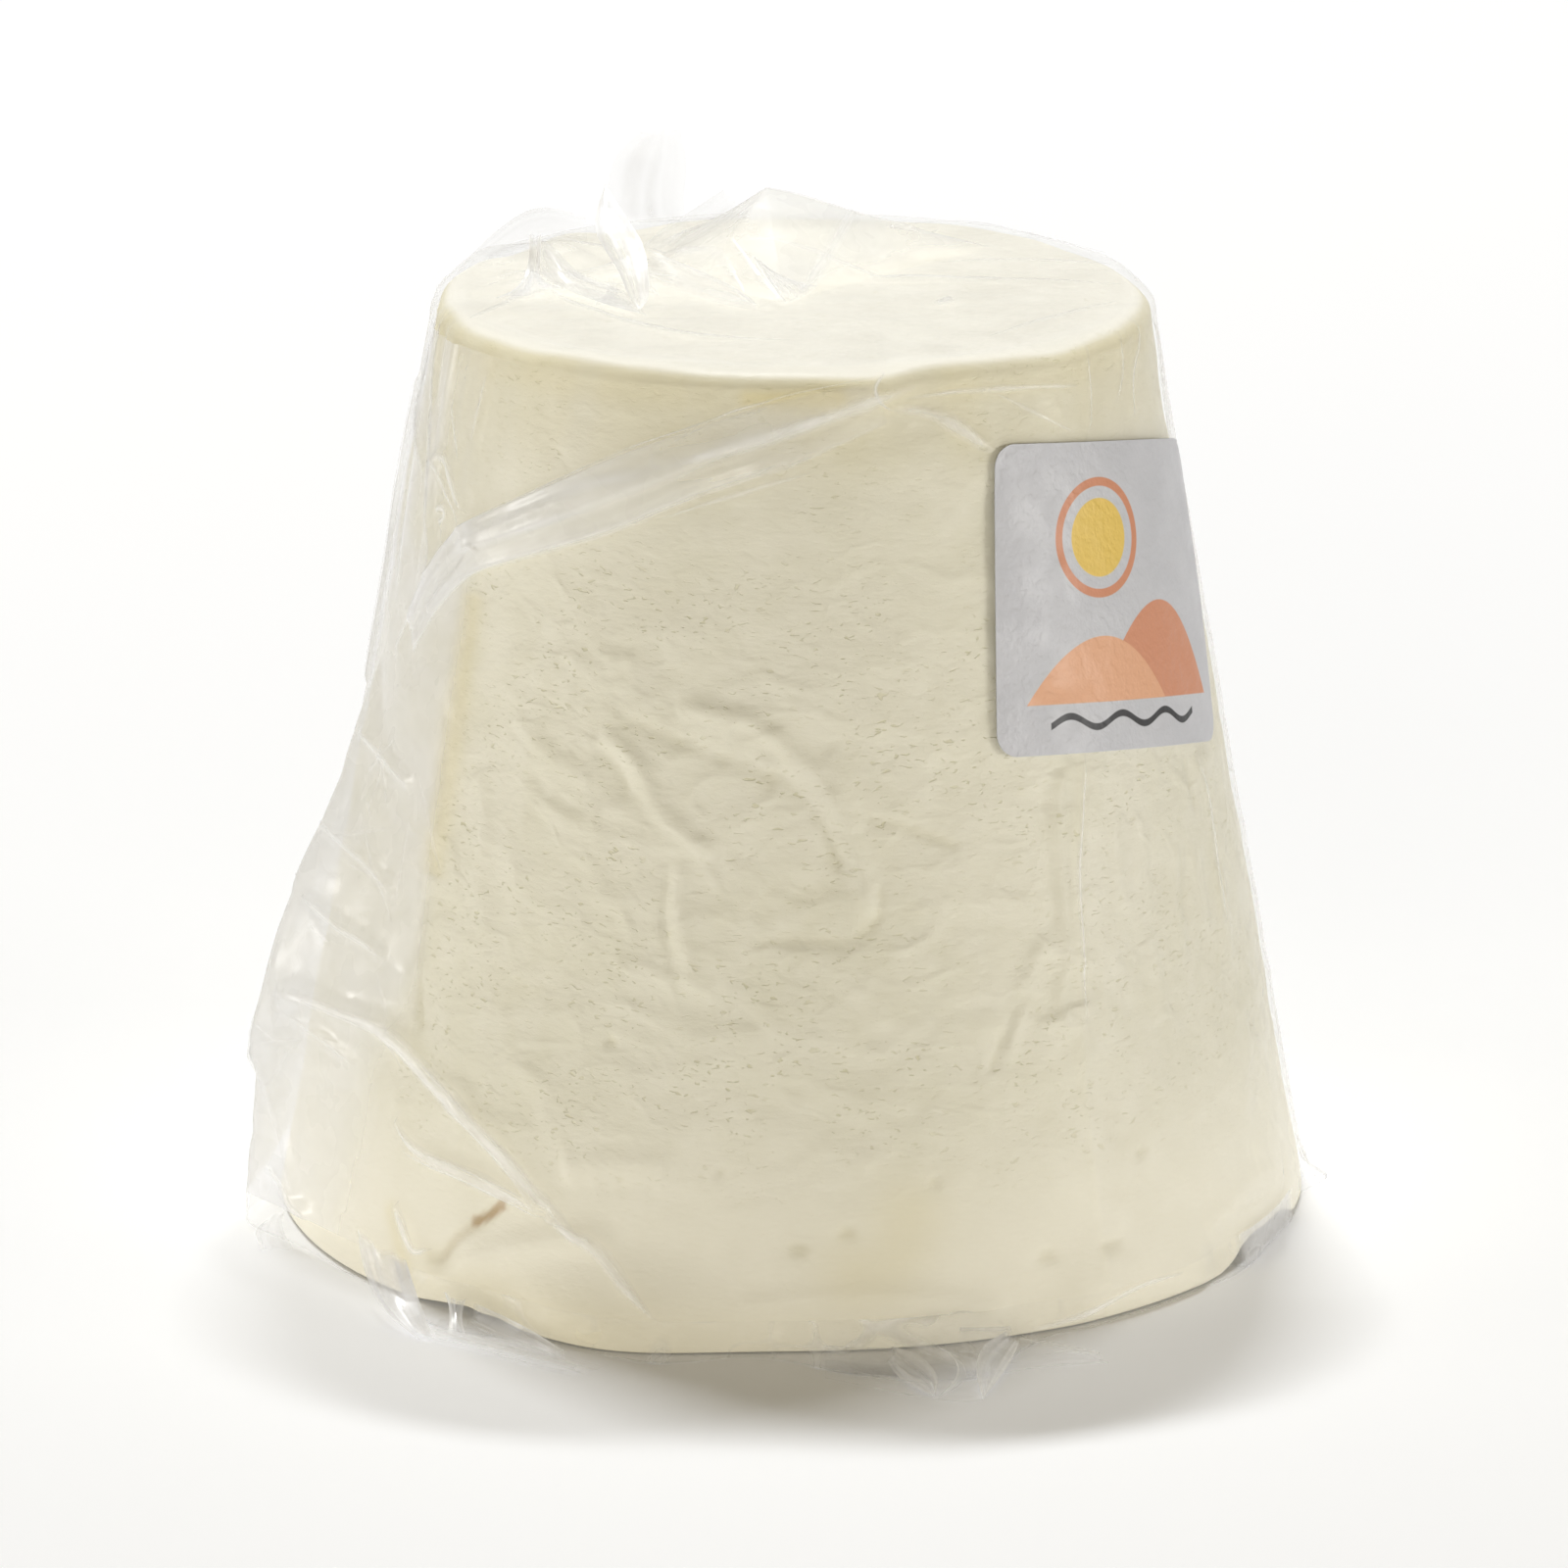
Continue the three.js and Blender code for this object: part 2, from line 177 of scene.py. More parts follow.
# Raised folds pressed into the curd: line of (angle, height), half width and rise. The gains and the spread
# scale all of them, and the grooves.
FOLD_GAIN, FOLD_SPREAD, GROOVE_GAIN = 1.2, 0.95, 0.85
FOLDS = [
    ([(-16, 57.5), (-10.2, 57.4), (-4, 56.3), (1.4, 53.1), (6, 49.4), (7.6, 45.7), (9.2, 41.6), (9.1, 39.1)],
     0.95, 0.42),
    ([(-26.7, 54.8), (-20.5, 52.4), (-18.2, 48.5), (-14.4, 46.7), (-9.6, 44.4)], 0.9, 0.4),
    ([(-13.8, 43.8), (-14.4, 40.5), (-12.7, 35.7), (-11.9, 32.4)], 0.8, 0.28),
    ([(-23, 34.6), (-17, 33.6), (-12.5, 33), (-9, 32)], 0.8, 0.2),
    ([(5, 54), (7.2, 50.5), (8.4, 49)], 0.7, 0.2),
    ([(-38, 58), (-33, 60.5), (-28, 60), (-22, 61.5)], 1.0, 0.2),
    ([(-41, 55), (-36, 52.5), (-31, 50.5), (-27, 50)], 0.9, 0.22),
    ([(-34, 47.5), (-29.5, 46), (-25.5, 46.2)], 0.9, 0.2),
    ([(18, 39.8), (24, 39.6), (31, 38.8)], 0.8, 0.1),
    ([(33, 35.5), (30, 33), (27.5, 29), (25.8, 25)], 0.9, 0.3),
    ([(40, 32), (36.5, 33.2), (33.6, 30.5), (34.5, 28)], 0.8, 0.25),
    ([(37.8, 50), (36.6, 46), (36.2, 40), (35.4, 32)], 0.8, 0.25),
    ([(14, 64), (17, 60), (16.2, 56), (19, 52)], 1.2, 0.16),
    ([(-46, 49), (-43, 44), (-44, 39), (-41, 34)], 1.2, 0.2),
    ([(-27, 15.2), (-21, 16.3), (-14, 16.5)], 1.4, 0.25),
    ([(-45, 1.9), (-40.7, 2.8), (-38.2, 4.5), (-34, 6.7), (-27.5, 8.7), (-20, 9.5)], 1.3, 0.45),
    ([(-6, 4.4), (1.2, 5), (9, 5.2), (16, 4.6), (24, 2.6)], 1.0, 0.3),
    ([(52, 5), (58, 6.4), (66, 7), (74, 5.6)], 1.3, 0.3),
    ([(47, 44.6), (45.6, 42.3), (45.9, 39.1), (46.5, 35.8)], 0.8, 0.16),
    ([(51, 44.3), (51.1, 41.4), (48.7, 38.2)], 0.8, 0.16),
    ([(58.6, 40.1), (56.8, 36.3), (56.2, 32.3), (56, 29.2)], 0.8, 0.2),
    ([(49.6, 33.5), (50.5, 29.7), (49.9, 25.3)], 0.8, 0.2),
    ([(62.4, 39.4), (62.4, 35.3), (62.6, 31.1)], 0.8, 0.2),
    ([(69, 36.3), (68.5, 31.7), (67.5, 27.3)], 0.8, 0.2),
    ([(30.7, 27.3), (33.1, 27.9), (35.8, 27.3), (37.3, 25.5), (36, 24.6)], 0.8, 0.2),
    ([(39.9, 29.6), (41.4, 27.2), (40.6, 25)], 0.7, 0.2),
]

# Grooves beside them
GROOVES = [
    ([(-24.9, 57), (-19.5, 55.1), (-13.8, 54.2), (-8.9, 53.2), (-4, 52.2), (-2, 50.4)], 0.5, 0.42),
    ([(-3.4, 52.4), (1.2, 50.2), (4.4, 47), (6.2, 42.8)], 0.5, 0.3),
    ([(-27.5, 53), (-24, 52), (-21.5, 49.4)], 0.5, 0.3),
    ([(8.9, 47.9), (13.6, 47.1), (19.5, 45.3), (21.9, 44.5)], 0.45, 0.35),
    ([(10.8, 42), (11.2, 38.6), (7, 36.6), (1, 37.4), (-5, 36.8)], 0.5, 0.3),
    ([(-15.6, 43), (-16.2, 39), (-14.6, 34)], 0.45, 0.28),
    ([(18.9, 37.6), (24, 37.2), (30, 36.6)], 0.45, 0.1),
    ([(29.5, 31.4), (26.2, 28.4), (23.6, 24.2)], 0.45, 0.35),
    ([(34.4, 49), (34.2, 43), (34, 36)], 0.5, 0.25),
    ([(-31, 58), (-27, 57.4), (-24, 58)], 0.5, 0.2),
    ([(-37, 50), (-32, 47.6), (-27, 47.6)], 0.5, 0.25),
    ([(-44.6, 4.2), (-41.9, 4.4), (-40.4, 6.5), (-37.9, 8.2), (-34.5, 10.6)], 0.5, 0.45),
    ([(-29, 13), (-22, 14), (-15, 14.4)], 0.7, 0.2),
    ([(-52.7, 36.8), (-52.4, 28.6), (-50.2, 24)], 0.5, 0.4),
    ([(64.3, 47.4), (65.1, 44.9), (65.7, 42)], 0.6, 0.3),
    ([(60.4, 39.6), (59.2, 35.5), (59, 31)], 0.6, 0.16),
]

# Small holes near the foot: angle, height, half width and half height in millimetres
HOLE_DEPTH = 0.4
HOLES = [
    (0.7, 9.3, 1.1, 0.6), (6.1, 10.8, 1.0, 0.5), (29, 6.9, 1.3, 0.5), (37.4, 6.6, 1.4, 0.6),
    (-33, 60, 0.8, 0.5),
    (-22, 27, 0.6, 0.5), (44, 14, 0.8, 0.5), (73, 20, 0.8, 0.6), (-8, 16, 0.6, 0.4), (16, 15, 0.6, 0.4),
]

# Creases of the film on the side: line of (angle, height), half width, rise, and how white the line is, the
# white partly a painted glint
CREASES = [
    ([(-74.2, 23.2), (-69.5, 23.6), (-61.4, 23.6), (-55, 23.4), (-48, 21.4), (-39.8, 18.3), (-32.8, 15),
      (-26.5, 11.2), (-22.8, 9.2)], 0.9, 0.7, 0.95),
    ([(-55, 23.8), (-50, 21.7), (-45.3, 20.5), (-39.5, 17.5), (-33, 14.4), (-27.8, 11.1)], 0.28, 0.2, 0.6),
    ([(-50, 22.6), (-46.8, 21.7), (-39.8, 19), (-32.6, 15.6), (-25, 10.9), (-22.8, 9.5)], 0.28, 0.2, 0.5),
    ([(-27.8, 11.1), (-22.8, 9.4), (-18, 6.2), (-14, 3.3)], 0.6, 0.5, 0.95),
    ([(-51.1, 16.2), (-48.4, 14.4), (-44.9, 13.6), (-39.8, 13.1), (-34, 12.4),
      (-28, 11.3)], 0.85, 0.6, 0.85),
    ([(-51.1, 16.2), (-48.4, 14.4), (-44.9, 13.8), (-39.8, 13.6), (-33.6, 12.9),
      (-27.9, 11.7)], 0.2, 0.2, 0.5),
    ([(-49.4, 13.3), (-44.7, 13), (-39.6, 12.7), (-34.7, 12), (-28.1, 10.8), (-26.2, 10.6)], 0.25, 0.2, 0.6),
    ([(-49.1, 8.6), (-46.8, 5.9), (-45, 4.6), (-42.7, 5.5)], 0.7, 0.5, 0.85),
    ([(-72.5, 7), (-69.7, 5), (-68.3, 3.8), (-64.6, 3.4)], 0.6, 0.3, 1.0),
    ([(-75.8, 39.3), (-70.3, 38.3), (-63.4, 37.1), (-58.2, 35.6)], 0.4, 0.45, 0.65),
    ([(-74, 32.6), (-67.5, 31.1), (-62.1, 30.5), (-57.5, 29.9)], 0.4, 0.45, 0.75),
    ([(-74.3, 48.1), (-66.8, 47), (-58.3, 45.8)], 0.35, 0.45, 0.7),
    ([(-70.8, 21.7), (-65.2, 20.7), (-59.7, 19.4)], 0.35, 0.3, 0.5),
    ([(-80, 21), (-72, 12), (-68, 5)], 0.4, 0.4, 0.35),
    ([(-72.1, 88), (-72.1, 82), (-67.4, 77.2), (-65.3, 72), (-64.7, 69.6), (-62.5, 67),
      (-62.4, 64.4)], 0.35, 0.5, 0.75),
    ([(-65.9, 75.2), (-60.6, 72.7), (-55.6, 70.8)], 0.4, 0.4, 0.7),
    ([(-65, 75.5), (-61.4, 75.5), (-59.3, 73.8), (-54.9, 71.6)], 0.5, 0.5, 0.85),
    ([(-62.7, 80.5), (-59.6, 77.4), (-58.5, 75.7)], 0.3, 0.3, 0.6),
    ([(-78.3, 84), (-77.5, 79.4), (-73.7, 75.4), (-68, 72.6)], 0.3, 0.35, 0.5),
    ([(-62.6, 70.6), (-61, 71.2), (-59.7, 71), (-59.8, 70.1), (-61.4, 69.7)], 0.4, 0.4, 0.9),
    ([(-54.6, 84.2), (-55, 81.5), (-55.5, 77.9)], 0.35, 0.3, 0.4),
    ([(-54.1, 70.7), (-57.4, 68.6), (-60.4, 66.6), (-62.2, 64.3), (-64.2, 62), (-66.2, 59.5),
      (-69, 56)], 0.4, 0.4, 0.7),
    ([(-50.5, 69), (-53.1, 67), (-55, 65.5), (-57.5, 64.1), (-60, 61.5)], 0.3, 0.3, 0.5),
    ([(-53.8, 70.8), (-52.9, 69.8), (-51.9, 68.6)], 0.8, 0.5, 1.0),
    ([(52.2, 86), (51.8, 82.8), (50.3, 79.4)], 0.25, 0.3, 0.6),
    ([(41.8, 51), (41.3, 50.1), (39.4, 45), (37.9, 39.9), (37.1, 33), (36.6, 27.5)], 0.25, 0.3, 0.8),
    ([(26, 0.9), (29.9, 1.1), (34.7, 2.1), (40, 3.1), (46.2, 2.8)], 0.45, 0.1, 0.9),
    ([(68.6, 87), (69.4, 85.8), (63.6, 83.2), (62.3, 79.3)], 0.3, 0.35, 0.4),
    ([(61.9, 86.5), (61.6, 83.9), (58.4, 81.5)], 0.3, 0.3, 0.35),
    ([(65.3, 46.9), (68.1, 43), (67, 35.6), (67.2, 30.9)], 0.25, 0.35, 0.55),
    ([(-88, 80), (-86, 62), (-87, 50)], 0.4, 0.4, 0.4),
    ([(96, 84), (104, 70), (101, 52), (108, 36)], 0.4, 0.5, 0.5),
    ([(124, 86), (130, 66), (127, 40), (138, 18)], 0.4, 0.5, 0.5),
    ([(160, 85), (152, 60), (160, 42), (155, 22)], 0.45, 0.6, 0.6),
    ([(-166, 84), (-172, 62), (-160, 46), (-164, 20)], 0.45, 0.6, 0.6),
    ([(-118, 86), (-124, 68), (-120, 52), (-131, 30), (-128, 10)], 0.45, 0.6, 0.6),
    ([(-140, 84), (-147, 66), (-141, 50)], 0.4, 0.4, 0.5),
    ([(140, 58), (166, 49), (190, 52), (220, 38)], 0.4, 0.5, 0.5),
]

# Lines of the gathered band: line of (angle, height), half width and whiteness, which is partly a painted
# glint
BAND_CREASES = [
    ([(-51.1, 71.9), (-39.6, 75.5), (-27.3, 79.5), (-16.2, 82.3), (-5.7, 84.7), (6.3, 86.4),
      (13, 87)], 0.18, 0.5),
    ([(-50.6, 70.4), (-44.5, 73), (-38.4, 74.9), (-31.5, 76.6), (-25.1, 77.6), (-20.4, 78.3)], 0.8, 0.6),
    ([(-49.5, 69.6), (-45, 70.6), (-37.8, 72.5), (-30, 74.4)], 0.35, 0.45),
    ([(-20.4, 78.3), (-15.9, 79.4), (-7.1, 81.2), (1.7, 82.7), (10.8, 84.6), (19.5, 85.8)], 0.85, 1.0),
    ([(-20.9, 79.9), (-21.5, 79.1), (-21, 78.6), (-19.5, 78.6)], 0.25, 0.7),
    ([(-48.1, 67.1), (-38.6, 69.6), (-27.5, 72.2), (-15.7, 76), (-7, 77.9), (1.7, 79.7), (7.6, 81.2),
      (14.5, 82.8)],
     0.3, 0.4),
    ([(-20, 74), (-12, 75.9), (-4, 77.5), (3, 78.7)], 0.25, 0.3),
    ([(14.4, 87.3), (12.6, 86.1), (13.4, 84.7), (15.5, 83.8)], 0.3, 0.7),
    ([(15.5, 83.9), (20.5, 83.6), (25.5, 82.1), (30.3, 79.9), (31.8, 79.3)], 0.8, 0.7),
    ([(17.7, 84.8), (28.1, 85), (40.6, 84.4), (49.4, 83.7)], 0.35, 0.5),
    ([(33, 84.4), (40, 82), (47.5, 79.6)], 0.3, 0.3),
]

# Creases of the film on the top face: line of (x, y), half width and whiteness, which is partly a painted
# glint
TOP_CREASES = [
    ([(-5.7, 4), (-0.6, 4), (5.8, 4), (13.7, 4), (23.1, 2.7), (31, 0.6)], 0.35, 0.8),
    ([(-5.6, 3.4), (-3.8, 0), (-2.1, -3.4), (-0.6, -6.8)], 0.4, 0.7),
    ([(-0.4, -6.8), (2.4, 0.9), (5.9, 13.2), (10.4, 27)], 0.4, 0.9),
    ([(-2.4, 12), (4, 13), (9.6, 14), (14, 24)], 0.35, 0.8),
    ([(-2.4, 12), (-5.8, 13), (-10.3, 14)], 0.3, 0.3),
    ([(-13.6, 16), (-10, 9.5), (-5.7, 0.1), (-3.2, -8)], 0.35, 0.35),
    ([(-24.2, 3), (-23.6, -0.5), (-20.3, -6.8), (-15.6, -13.5), (-11.5, -17.8), (-8, -20.1),
      (0, -22)], 0.35, 0.6),
    ([(-24.2, 3), (-24.6, -3), (-27, -8), (-29.6, -13.4)], 0.35, 0.45),
    ([(-22, 5), (-19, 1.6), (-15, -1)], 0.35, 0.35),
    ([(-13.7, 4), (-13.4, -1), (-12.4, -4)], 0.35, 0.5),
    ([(-17, 2), (-16.4, -3), (-18, -8)], 0.35, 0.35),
    ([(13.2, -7.4), (14.2, -6.2), (14.6, -4.4)], 0.5, 0.7),
    ([(11, 26.2), (16.6, 28.3), (23.2, 21.5), (29.8, 13.9)], 0.35, 0.4),
    ([(18, -20), (24, -12), (30, -6)], 0.3, 0.3),
    ([(-20, 26), (-6, 29), (6, 30)], 0.35, 0.4),
    ([(14, 10), (22, 12), (30, 9)], 0.3, 0.35),
]

# Gathered band: upper and lower edge as lines of (angle, height)
BAND_UPPER = [(-66, 60), (-61, 66.6), (-54.1, 70.9), (-51.1, 71.9), (-39.6, 75.5), (-27.3, 79.5),
              (-16.2, 82.3),
              (-5.7, 84.6), (6.3, 86.2), (13, 86.4)]
BAND_LOWER = [(-63, 57), (-57.5, 62.6), (-51.5, 66), (-48.1, 67.1), (-38.6, 69.6), (-27.5, 72.2),
              (-15.7, 76),
              (-7, 77.9), (7.6, 81.2), (14.5, 82.8)]

# Fineness of the surfaces: columns round the axis, rows of the side and of the top face, and the sheets'
# grids
CHEESE_COLUMNS, CHEESE_SIDE_ROWS, CHEESE_TOP_ROWS = 440, 152, 44
FILM_COLUMNS, FILM_SIDE_ROWS, FILM_FOOT_ROWS, FILM_TOP_ROWS = 520, 188, 40, 122
BAND_STEPS, BAND_ACROSS = 420, 44
RIBBON_STEPS, RIBBON_ACROSS = 90, 7
FOLD_STEPS, FOLD_ACROSS = 90, 40
LABEL_ROWS, LABEL_COLUMNS, CORNER_ROWS = 60, 90, 9

# Heights of the lowest rows over the floor
CHEESE_BOTTOM, FILM_BOTTOM, SLOPE_FOOT = 0.17, 0.12, 0.15


def smooth(x, low, high):
    """Share between 0 and 1: 3t² - 2t³, where t is how far x has come from low to high."""
    t = np.clip((np.asarray(x, float) - low) / (high - low), 0, 1)
    return t * t * (3 - 2 * t)


def short_way(angle):
    """The same angle, between -180 and 180 degrees."""
    return (np.asarray(angle, float) + 180) % 360 - 180


def hump(gap, width, power=2):
    """A rounded hump of height 1: exp(-(gap / width) to the power)."""
    return np.exp(-np.abs(gap / width) ** power)


def bump(angle, middle, half_width):
    """A hump round the axis, by the angle from its middle."""
    return hump(short_way(angle - middle), half_width)


def along(line, x):
    """The value at x of a line through points (x, value) with rising x, level beyond its ends."""
    xs, values = np.array(line, float).T
    return np.interp(x, xs, values)


def cone_radius(z):
    """Base radius less the taper times the height."""
    return BASE_RADIUS - TAPER * z


def lumps(angle, z):
    """Slow unevenness, a sum of three sine waves round the axis, the sagged foot that fades with height,
    and an uneven brim."""
    a = np.radians(angle)
    slow = (0.6 * np.sin(3 * a + 0.6) * np.sin(z / 17 + 0.4) + 0.4 * np.sin(5 * a - 1.1 + z / 23)
            + 0.3 * np.sin(2 * a + 2.1 - z / 31))
    foot = FOOT_REACH * bump(angle, FOOT_ANGLE, FOOT_HALF_WIDTH) * (1 - smooth(z, 0, FOOT_HEIGHT))
    brim = 0.4 * skin_cloud(angle, 0, 8, 9, 47) * smooth(z, 76, 86)
    return LUMP * slow + foot + brim


def fin(angle, z):
    """How far the fin's flat flanks stand proud of the cone: the straight line, seen from above, from the
    ridge to the place where the film leaves the cone, less the cone's radius, and never under 0."""
    cone = cone_radius(z)
    front = angle > FIN_RIDGE
    foot = np.where(front, FIN_LEAVES, FIN_RETURNS)
    ridge = cone + along(FIN_OUTLINE, z)
    before, after = np.radians(angle - FIN_RIDGE), np.radians(foot - angle)
    under = ridge * np.sin(before) + cone * np.sin(after)
    inside = (angle > FIN_RETURNS) & (angle < FIN_LEAVES)
    straight = ridge * cone * np.sin(before + after) / np.where(inside & (np.abs(under) > 1e-6), under, 1)
    return np.where(inside, np.maximum(0, straight - cone), 0)


def film_radius(angle, z):
    """Cone, film gap, slow unevenness and fin added up."""
    return cone_radius(z) + FILM + lumps(angle, z) + overhang(angle, z) + fin(angle, z)


def skirt_radius(angle):
    """How far the film reaches from the axis on the floor: the base with its lumps, its spread and its
    tongues."""
    tongues = sum(reach * bump(angle, middle, half_width) for middle, half_width, reach in TONGUES)
    return BASE_RADIUS + SKIRT_SPREAD + lumps(angle, 0) + tongues


def chip_lift(angle):
    """How high the lower rim lies: a small rise all round, the measured rises and a bump for each chip
    behind."""
    behind = sum(height * bump(angle, middle, half_width) for middle, half_width, height in BACK_CHIPS)
    return RIM_LIFT + along(RIM_RISES, short_way(angle)) + behind


def overhang(angle, z):
    """How far the side stands out over the facet at the right of the foot: straight out from the floor to
    the edge's height and smoothly back above it."""
    edge = along(OVERHANG, short_way(angle))
    above = 1 - smooth(z, edge, edge + OVERHANG_FADE)
    return OVERHANG_REACH * smooth(edge, 0.4, 1.6) * np.minimum(z / edge, 1) * above


def turns(count):
    """Angles once round the axis, closer together at the front: 180 (0.55 u + 0.45 u³) with even u."""
    u = np.linspace(-1, 1, count, endpoint=False)
    return (180 * (0.55 * u + 0.45 * u ** 3))[None, :]


CELLS = 256


def cloud(u, v, seed, around=CELLS):
    """Random numbers between -1 and 1 at the whole-number points of (u, v), joined in both directions by
    the smooth step. The pattern repeats after so many cells in u."""
    table = np.random.default_rng(seed).uniform(-1, 1, (CELLS, CELLS))
    column, row = np.floor(u).astype(int), np.floor(v).astype(int)
    right, up = smooth(u - column, 0, 1), smooth(v - row, 0, 1)
    corner = lambda i, j: table[(row + j) % CELLS, (column + i) % around % CELLS]
    low = corner(0, 0) * (1 - right) + corner(1, 0) * right
    high = corner(0, 1) * (1 - right) + corner(1, 1) * right
    return low * (1 - up) + high * up


def skin_cloud(angle, z, width, height, seed):
    """cloud on the rolled-out cone, with cells of about that width and height in millimetres."""
    around = round(2 * math.pi * MIDDLE_RADIUS / width)
    return cloud(short_way(angle) / 360 * around + around, z / height + 40, seed, around)


def rounded(line, times=2):
    """A line with its corners cut at a quarter of each stretch, so many times over. Its ends stay."""
    points = np.array(line, float)
    for _ in range(times if len(line) > 2 else 0):
        near, far = 0.75 * points[:-1] + 0.25 * points[1:], 0.25 * points[:-1] + 0.75 * points[1:]
        cut = np.stack([near, far], 1).reshape(-1, points.shape[1])
        points = np.vstack([points[:1], cut, points[-1:]])
    return points


def walk(points, share):
    """Each coordinate of a line at a share of the way through its points."""
    return [np.interp(share, np.linspace(0, 1, len(points)), column) for column in points.T]


def nearest(across, up, line):
    """Distance from each point to a line, and the share of the line's length at the nearest place. across
    gives the distances to the line's points in the first direction, up in the second."""
    gap, share = np.full(np.broadcast(across(line[0]), up(line[0])).shape, 1e9), 0
    lengths = np.linspace(0, 1, len(line))
    for i in range(len(line) - 1):
        x0, y0, x1, y1 = across(line[i]), up(line[i]), across(line[i + 1]), up(line[i + 1])
        dx, dy = x1 - x0, y1 - y0
        t = np.clip(-(x0 * dx + y0 * dy) / (dx * dx + dy * dy + 1e-9), 0, 1)
        here = np.hypot(x0 + t * dx, y0 + t * dy)
        share = np.where(here < gap, lengths[i] + t * (lengths[i + 1] - lengths[i]), share)
        gap = np.minimum(gap, here)
    return gap, share


def side_gap(angle, z, line):
    """Distance in millimetres over the rolled-out cone, and share along the line."""
    points = rounded(line)
    middle = points[len(points) // 2, 0]
    away = short_way(middle - angle)
    reach = np.radians(1) * cone_radius(z)
    return nearest(lambda p: (away + p[0] - middle) * reach, lambda p: p[1] - z, points)


def ends_fade(share, length=0.15):
    """1 along most of a line, falling smoothly to 0 at both of its ends."""
    return smooth(share, 0, length) * (1 - smooth(share, 1 - length, 1))


def relief(angle, z):
    """The curd's surface: soft mottling, worm-like wrinkles where a cloud of numbers crosses 0, the folds,
    the grooves and the holes. Each fold or groove is a hump across its line and fades at its ends."""
    turned = angle + 2.6 * skin_cloud(angle, z, 8, 8, 11)
    bent = z + 1.8 * skin_cloud(angle, z, 8, 8, 12)

    def worm(size, shear, seed):
        """1 along the lines where a cloud with a finer cloud on it crosses 0, and 0 a little away from
        them."""
        coarse = skin_cloud(turned + shear * z, bent, size, 0.7 * size, seed)
        fine = skin_cloud(turned - shear * z, bent, 0.45 * size, 0.35 * size, seed + 10)
        return hump(coarse + 0.4 * fine, 0.24)

    middle_zone = smooth(z, 6, 20) * (1 - 0.75 * smooth(z, 56, 68)) * (1 - smooth(z, 78, 84))
    patches = 0.35 + 0.65 * smooth(skin_cloud(angle, z, 17, 14, 21), -0.5, 0.6)
    surface = 0.2 * skin_cloud(turned, bent, 13, 10, 1) + 0.1 * skin_cloud(turned, bent, 4.5, 3.2, 2)
    worms = 0.16 * worm(9, 1.1, 3) + 0.13 * worm(6.5, -0.9, 4) + 0.07 * worm(4.5, 0.4, 5)
    surface = surface + middle_zone * patches * worms
    ridges = [(line, FOLD_SPREAD * width, FOLD_GAIN * rise) for line, width, rise in FOLDS]
    ridges += [(line, width, -GROOVE_GAIN * depth) for line, width, depth in GROOVES]
    for line, width, rise in ridges:
        gap, share = side_gap(angle, z, line)
        surface = surface + rise * hump(gap, width) * ends_fade(share)
    for middle, height, half_width, half_height in HOLES:
        across = np.radians(short_way(angle - middle)) * cone_radius(z) / half_width
        surface = surface - HOLE_DEPTH * hump(np.hypot(across, (z - height) / half_height), 1, 3)
    return np.minimum(surface, 1.0)


def from_above(angle, radius):
    """x and y of points at a radius from the axis, with angle 0 towards -Y and 90 towards +X."""
    a = np.radians(angle)
    return radius * np.sin(a), -radius * np.cos(a)


def polar(angle, radius, z):
    """Points at a radius from the axis and at a height."""
    return np.stack(np.broadcast_arrays(*from_above(angle, radius), z), -1)


def stack_rows(rows, angle):
    """Rows of two numbers each, as two grids with a column for each angle."""
    return [np.concatenate([np.broadcast_to(row[k], angle.shape) for row in rows]) for k in (0, 1)]


def grid_faces(rows, columns, closed):
    """Four-sided faces between neighbouring rows and columns, the last column joined to the first if
    closed."""
    across = columns if closed else columns - 1
    row, column = np.meshgrid(np.arange(rows - 1), np.arange(across), indexing="ij")
    after = (column + 1) % columns
    corners = [row * columns + column, row * columns + after, (row + 1) * columns + after,
               (row + 1) * columns + column]
    return np.stack(corners, -1).reshape(-1, 4)


